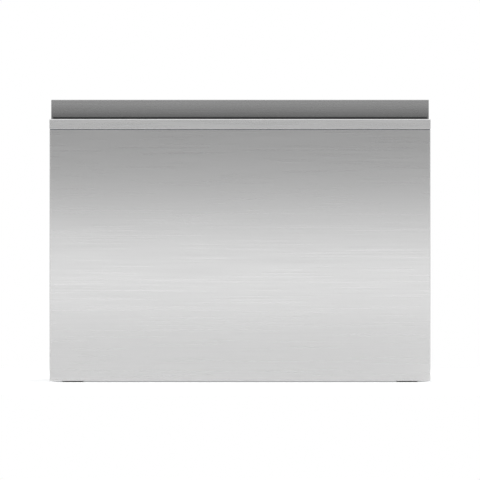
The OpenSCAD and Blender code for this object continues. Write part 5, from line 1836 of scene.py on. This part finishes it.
@dataclass
class Connections:
    """What the installer joins in the rear recess: water inlet, drain outlet and cord gland.

    Attributes:
        y: rear face of the recess's sheet, inside the cabinet.
        sheet: thickness of that sheet.
        z: height of the three.
        inlet_x: place of the inlet valve.
        drain_x: place of the drain outlet.
        gland_x: place of the gland.
        reach: how far inlet and drain stand out.
        valve: half width, depth and half height of the valve's body.
        coil_y: distance of the coil's axis from the sheet.
        winding: radius of the winding, radius of its wire and distance between its turns.
        turns: turns of the winding that are drawn.
        bore: radius of the inlet.
        thread: radius of the inlet's thread at its root and at its crest.
        ridges: ridges of that thread, 2 mm apart.
        tail: radius of the drain tail at its bore, along its plain length and over its barbs.
        flange: radius of the flanges that hold the drain tail on the sheet.
        gland_bore: radius of the cord's way through the gland.
        gland_r: radius of the gland's body.
        nut: radius of the locknut over its corners, its height and the radius of its bore.
    """

    y: float = 250.0
    sheet: float = 1.2
    z: float = 40.0
    inlet_x: float = 150.0
    drain_x: float = 90.0
    gland_x: float = 205.0
    reach: float = 32.0
    valve: Point = (22.0, 26.0, 19.0)
    coil_y: float = 13.0
    winding: Point = (10.2, 1.15, 2.1)
    turns: int = 6
    bore: float = 9.2
    thread: Flat = (12.3, 13.2)
    ridges: int = 10
    tail: Point = (7.0, 9.5, 10.5)
    flange: float = 13.5
    gland_bore: float = 4.5
    gland_r: float = 11.0
    nut: Point = (14.0, 5.0, 10.9)

    def build(self) -> None:
        """Builds all three."""
        self.inlet()
        self.drain()
        self.gland()

    def inlet(self) -> None:
        """A solenoid valve: moulded body, wound coil with two blades, and a threaded nose."""
        valve = Shape("inlet_valve")
        x, y, z = self.inlet_x, self.y, self.z
        half, deep, half_h = self.valve
        valve.box((x - half, x + half), (y - deep, y), (z - half_h, z + half_h))
        axis_y = y - self.coil_y
        coil = [(2.0, z + 18), (12.0, z + 18), (12.0, z + 21), (10.6, z + 21), (10.6, z + 34)]
        coil += [(12.0, z + 34), (12.0, z + 36), (6.0, z + 36), (5.0, z + 39), (2.0, z + 39)]
        valve.lathe(coil, (x, axis_y, 0.0))
        radius, wire_r, rise = self.winding
        for i in range(self.turns):
            turn = arc((x, axis_y), radius, 0, 350, 35)
            path = [Vector((across, along, z + 22.2 + rise * i)) for across, along in turn]
            valve.tube(path, wire_r, closed=True, sides=8, material=1)
        bore, (root, crest) = self.bore, self.thread
        start, end = y + self.sheet, y + self.reach
        nose = [(bore, y - 0.5), (crest, y - 0.5), (crest, start), (17.2, start), (17.2, start + 2.4)]
        nose += [(16.6, start + 3), (root, start + 3), (root, start + 6)]
        for i in range(self.ridges):
            at = start + 2 * i
            nose += [(root, at + 6.4), (crest, at + 7.2), (crest, at + 7.6)]
        nose += [(root, end - 3.4), (root, end - 0.6), (11.7, end), (9.8, end), (bore, end - 0.6)]
        valve.lathe(nose, (x, 0.0, z), Axis.Y, sides=64)
        for blade_x in (x - 3.5, x + 3.5):
            valve.box((blade_x - 0.4, blade_x + 0.4), (y - 16, y - 10), (z + 38, z + 45), 2)
        finishes = [WHITE_PLASTIC, CLIP_PLASTIC, RUNNER_STEEL]
        valve.hand_over(Body.CABINET, finishes, "white_plastic", ("water_inlet_valve",), round_mm=0.5)

    def drain(self) -> None:
        """A hose tail with two barbs, clamped by a ring nut."""
        tail = Shape("drain_tail")
        y, end = self.y, self.y + self.reach
        start = y + self.sheet
        bore, plain, barb = self.tail
        rim = self.flange
        profile = [(bore, y - 4), (rim + 1.5, y - 4), (rim + 2, y - 3.5), (rim + 2, y), (plain, y)]
        profile += [(plain, start), (rim, start), (rim, start + 3.4), (rim - 0.6, start + 4)]
        profile += [(plain, start + 4)]
        for i in range(2):
            at = y + 11 + 6 * i
            profile += [(plain, at), (barb, at + 0.4), (barb, at + 0.9), (plain, at + 3.4)]
        profile += [(plain, end - 3), (8.6, end), (7.4, end), (bore, end - 0.4)]
        tail.lathe(profile, (self.drain_x, 0.0, self.z), Axis.Y)
        tail.hand_over(Body.CABINET, [GREY_PLASTIC], "grey_plastic", ("drain_outlet_spigot",))

    def gland(self) -> None:
        """A cord gland: a body with a domed nose, and a hexagonal locknut."""
        gland = Shape("cable_gland")
        x, y, z = self.gland_x, self.y, self.z
        start, end = y + self.sheet, y + 14
        bore, radius = self.gland_bore, self.gland_r
        body = [(bore, y - 8), (radius - 0.6, y - 8), (radius, y - 7.4), (radius, y - 3), (13.5, y - 3)]
        body += [(13.5, y), (radius, y), (radius, end - 5), (radius - 0.6, end - 2.4)]
        body += [(8.8, end - 0.6), (7.2, end), (5.2, end), (bore, end - 0.8)]
        gland.lathe(body, (x, 0.0, z), Axis.Y)
        corners, thick, inner = self.nut
        nut, hole = Shape("cable_gland_nut"), Shape("cable_gland_hole")
        nut.prism(arc((x, z), corners, 0, 360, 6)[:-1], Axis.Y, start, start + thick)
        hole.rod((x, z), inner, Axis.Y, start - 2, start + thick + 2)
        nut.carve(hole)
        gland.take(nut)
        gland.hand_over(Body.CABINET, [FOOT_PLASTIC], "foot_plastic", ("cord_gland",), round_mm=0.3)


# ---------------------------------------------------------------- studio


@dataclass(frozen=True)
class Studio:
    """Camera, floor, backdrop and lights.

    Attributes:
        distance: from the camera to the front panel.
        centre_z: height of the camera, level with the middle of the photograph.
        field: height of the picture in the plane of the front panel.
        sensor: width of the camera's sensor in millimetres.
        sky: brightness of the world for rays that light matt surfaces.
        floor_lift: light that the floor adds, where it is seen, near the machine.
        floor_fade: distances from the machine between which the floor turns to the backdrop's white.
        floor_grey: share of light that the floor sends back.
        floor_reach: half the floor's width.
        far: distance beyond which the camera sees nothing.
        card_gap: distance of the graded card from the front panel.
        card_size: half width and height of the card.
        card_limit: brightness that no part of the card goes above.
        card_steps: height on the graded card, and its brightness there.
        lamp_size: length of a soft box's side.
        lamps: name, place and power in watts of the soft boxes: two in front, one behind.
    """

    distance: float = 20.0
    centre_z: float = 0.2225
    field: float = 0.7507
    sensor: float = 36.0
    sky: float = 0.5
    floor_lift: float = 0.28
    floor_fade: Flat = (0.8, 2.0)
    floor_grey: float = 0.93
    floor_reach: float = 25.0
    far: float = 60.0
    card_gap: float = 0.35
    card_size: Flat = (1.6, 1.0)
    card_limit: float = 2.0
    card_steps: tuple[Flat, ...] = (
        (0.0, 0.8),
        (0.05, 0.92),
        (0.1, 1.09),
        (0.15, 1.4),
        (0.2, 1.333),
        (0.25, 0.982),
        (0.3, 0.635),
        (0.35, 0.475),
        (0.4, 0.405),
        (0.45, 0.41),
        (0.5, 0.55),
        (0.6, 0.98),
        (0.8, 1.2),
        (1.0, 1.2),
    )
    lamp_size: float = 2.6
    lamps: tuple[tuple[str, Point, float], ...] = (
        ("key_box", (-2.4, -3.2, 3.4), 120.0),
        ("fill_box", (3.0, -2.4, 2.6), 60.0),
        ("rear_box", (1.0, 3.6, 3.2), 90.0),
    )

    def build(self) -> None:
        """Makes all of it."""
        self.camera()
        self.world()
        self.floor()
        self.grading_card()
        for lamp in self.lamps:
            self.soft_box(*lamp)

    def camera(self) -> None:
        """A long lens, square to the front panel, as in the photograph."""
        data = bpy.data.cameras.new("camera")
        data.sensor_width = self.sensor
        data.lens = self.sensor * self.distance / self.field
        data.clip_end = self.far
        camera = bpy.data.objects.new("camera", data)
        camera.location = (0.0, CAD_BOX[0][1] - self.distance, self.centre_z)
        camera.rotation_euler = (math.pi / 2, 0.0, 0.0)
        bpy.context.scene.collection.objects.link(camera)
        bpy.context.scene.camera = camera
        LOG.info("camera: %.0f mm lens at %.1f m", data.lens, self.distance)

    def seen(self, tree: bpy.types.NodeTree) -> bpy.types.NodeSocket:
        """Tells rays that see a surface from rays that only light others with it.

        Args:
            tree: the node tree to add to.

        Returns:
            A socket that is 1 for what the camera sees, directly, mirrored or through glass.
        """
        path = add_node(tree, "ShaderNodeLightPath")
        seen = path.outputs["Is Camera Ray"]
        for ray in ("Is Glossy Ray", "Is Transmission Ray"):
            either = add_node(
                tree, "ShaderNodeMath", {"operation": "MAXIMUM"}, {0: seen, 1: path.outputs[ray]}
            )
            seen = either.outputs[0]
        return seen

    def world(self) -> None:
        """White for the camera and for reflections, softer as a light on matt surfaces."""
        world = bpy.data.worlds.new("white_room")
        tree = empty_tree(world)
        strength = add_node(
            tree, "ShaderNodeMapRange", {"To Min": self.sky, "To Max": 1.0}, {"Value": self.seen(tree)}
        )
        back = add_node(
            tree,
            "ShaderNodeBackground",
            {"Color": (1.0, 1.0, 1.0, 1.0)},
            {"Strength": strength.outputs["Result"]},
        )
        add_node(tree, "ShaderNodeOutputWorld", links={"Surface": back.outputs["Background"]})
        bpy.context.scene.world = world

    def plane(self, name: str, corners: list[Point], material: bpy.types.Material) -> bpy.types.Object:
        """A flat sheet that belongs to the studio.

        Args:
            name: its name.
            corners: its corners in order.
            material: its material.

        Returns:
            The sheet.
        """
        mesh = bpy.data.meshes.new(name)
        mesh.from_pydata(corners, [], [tuple(range(len(corners)))])
        mesh.materials.append(material)
        sheet = bpy.data.objects.new(name, mesh)
        bpy.context.scene.collection.objects.link(sheet)
        return sheet

    def floor(self) -> None:
        """A wide pale floor that takes the shadow and fades into the backdrop."""
        material = bpy.data.materials.new("painted_studio_floor")
        tree = empty_tree(material)
        seen = self.seen(tree)
        matt = add_node(tree, "ShaderNodeBsdfDiffuse", {"Color": (self.floor_grey,) * 3 + (1.0,)})
        power = add_node(
            tree, "ShaderNodeMath", {"operation": "MULTIPLY", 1: self.floor_lift}, {0: seen}
        )
        glow = add_node(tree, "ShaderNodeEmission", links={"Strength": power.outputs[0]})
        near = add_node(
            tree, "ShaderNodeAddShader", links={0: matt.outputs["BSDF"], 1: glow.outputs["Emission"]}
        )
        where = add_node(tree, "ShaderNodeTexCoord")
        far = add_node(
            tree, "ShaderNodeVectorMath", {"operation": "LENGTH"}, {0: where.outputs["Object"]}
        )
        fade = add_node(
            tree,
            "ShaderNodeMapRange",
            {"From Min": self.floor_fade[0], "From Max": self.floor_fade[1]},
            {"Value": far.outputs["Value"], "To Max": seen},
        )
        white = add_node(tree, "ShaderNodeEmission")
        floor = add_node(
            tree,
            "ShaderNodeMixShader",
            links={"Fac": fade.outputs["Result"], 1: near.outputs["Shader"], 2: white.outputs["Emission"]},
        )
        add_node(tree, "ShaderNodeOutputMaterial", links={"Surface": floor.outputs["Shader"]})
        reach = self.floor_reach
        corners = [(-reach, -reach, 0), (reach, -reach, 0), (reach, reach, 0), (-reach, reach, 0)]
        self.plane("studio_floor", corners, material)

    def grading_card(self) -> None:
        """A tall graded card in front of the machine, seen only in reflections.

        It is bright low down, dark level with the upper part of the panel and bright again above.
        """
        material = bpy.data.materials.new("graded_studio_card")
        tree = empty_tree(material)
        where = add_node(tree, "ShaderNodeTexCoord")
        split = add_node(tree, "ShaderNodeSeparateXYZ", links={"Vector": where.outputs["Object"]})
        ramp = add_node(tree, "ShaderNodeFloatCurve", links={"Value": split.outputs["Z"]})
        curve = ramp.mapping.curves[0]
        ramp.mapping.clip_max_y = self.card_limit
        curve.points[0].location, curve.points[1].location = self.card_steps[0], self.card_steps[-1]
        for step in self.card_steps[1:-1]:
            curve.points.new(*step)
        ramp.mapping.update()
        glow = add_node(tree, "ShaderNodeEmission", links={"Strength": ramp.outputs["Value"]})
        add_node(tree, "ShaderNodeOutputMaterial", links={"Surface": glow.outputs["Emission"]})
        front = CAD_BOX[0][1] - self.card_gap
        half, top = self.card_size
        corners = [(-half, front, 0), (half, front, 0), (half, front, top), (-half, front, top)]
        card = self.plane("graded_card", corners, material)
        card.visible_camera = card.visible_diffuse = card.visible_shadow = card.visible_transmission = False

    def soft_box(self, name: str, place: Point, power: float) -> None:
        """A square area light that looks at the middle of the machine.

        Args:
            name: its name.
            place: where it hangs.
            power: its power in watts.
        """
        data = bpy.data.lights.new(name, "AREA")
        data.size = self.lamp_size
        data.energy = power
        light = bpy.data.objects.new(name, data)
        light.location = place
        aim = Vector((0.0, 0.0, self.centre_z)) - Vector(place)
        light.rotation_euler = aim.to_track_quat("-Z", "Y").to_euler()
        light.visible_camera = light.visible_glossy = False
        bpy.context.scene.collection.objects.link(light)


@dataclass(frozen=True)
class Look:
    """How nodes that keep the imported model's mesh are dressed.

    Attributes:
        finish: their finish.
        nodes: their names.
        round_mm: width of the rounding along their edges.
    """

    finish: Finish
    nodes: tuple[str, ...]
    round_mm: float

    def apply(self) -> None:
        """Paints the nodes and rounds their edges."""
        paint(self.finish, *self.nodes)
        for node in self.nodes:
            soften(node, self.round_mm)


LOOKS = (
    Look(DARK_PLASTIC, ("side_trims", "lid_pinion_left", "lid_pinion_right"), 0.2),
    Look(DARK_PLASTIC, ("control_fascia", "handle_end_caps", "door_backing_frame"), 0.4),
    Look(CABINET_STEEL, ("chassis_left_side", "chassis_right_side", "chassis_back_panel"), 0.3),
    Look(CABINET_STEEL, ("chassis_top_panel", "base_pan", "service_bracket", "tub_brackets"), 0.3),
    Look(RUNNER_STEEL, ("runner_outer_members", "runner_middle_members", "runner_inner_members"), 0.4),
    Look(WHITE_PLASTIC, ("flood_float", "flood_switch", "power_module"), 0.6),
    Look(GREY_PLASTIC, ("lid_actuators", "drain_filter", "fan_housing"), 0.6),
    Look(BLUE_PLASTIC, ("rinse_aid_cap",), 0.8),
    Look(LID_PLASTIC, ("lid_panel", "detergent_dispenser", "cutlery_basket"), 0.6),
    Look(LID_PLASTIC, ("detergent_door", "fan_rotor"), 0.3),
    Look(SEAL_RUBBER, ("lid_seal",), 1.0),
    Look(KEY_PLASTIC, ("power_button", "programme_button", "option_button", "start_button"), 0.5),
    Look(SMOKED_PANE, ("display_lens",), 0.2),
    Look(BOARD_EPOXY, ("control_board",), 0.15),
    Look(MOTOR_PAINT, ("motor_housing", "rotor_impeller"), 0.6),
    Look(ELEMENT_STEEL, ("heater_element",), 0.2),
    Look(FILTER_STEEL, ("filter_plate",), 0.2),
)


def main() -> None:
    """Builds the looks."""
    logging.basicConfig(level=logging.INFO, format="%(message)s")
    bpy.context.scene.view_settings.view_transform = "Standard"
    Studio().build()
    front = (FrontPanel(), Handle())
    drawer = (Tub(), RackWires(), TineRows(), CupShelves(), SprayArm())
    cabinet = (Screws(), Feet(), Connections())
    for part in front + drawer + cabinet:
        part.build()
    for look in LOOKS:
        look.apply()


if __name__ == "__main__":
    main()
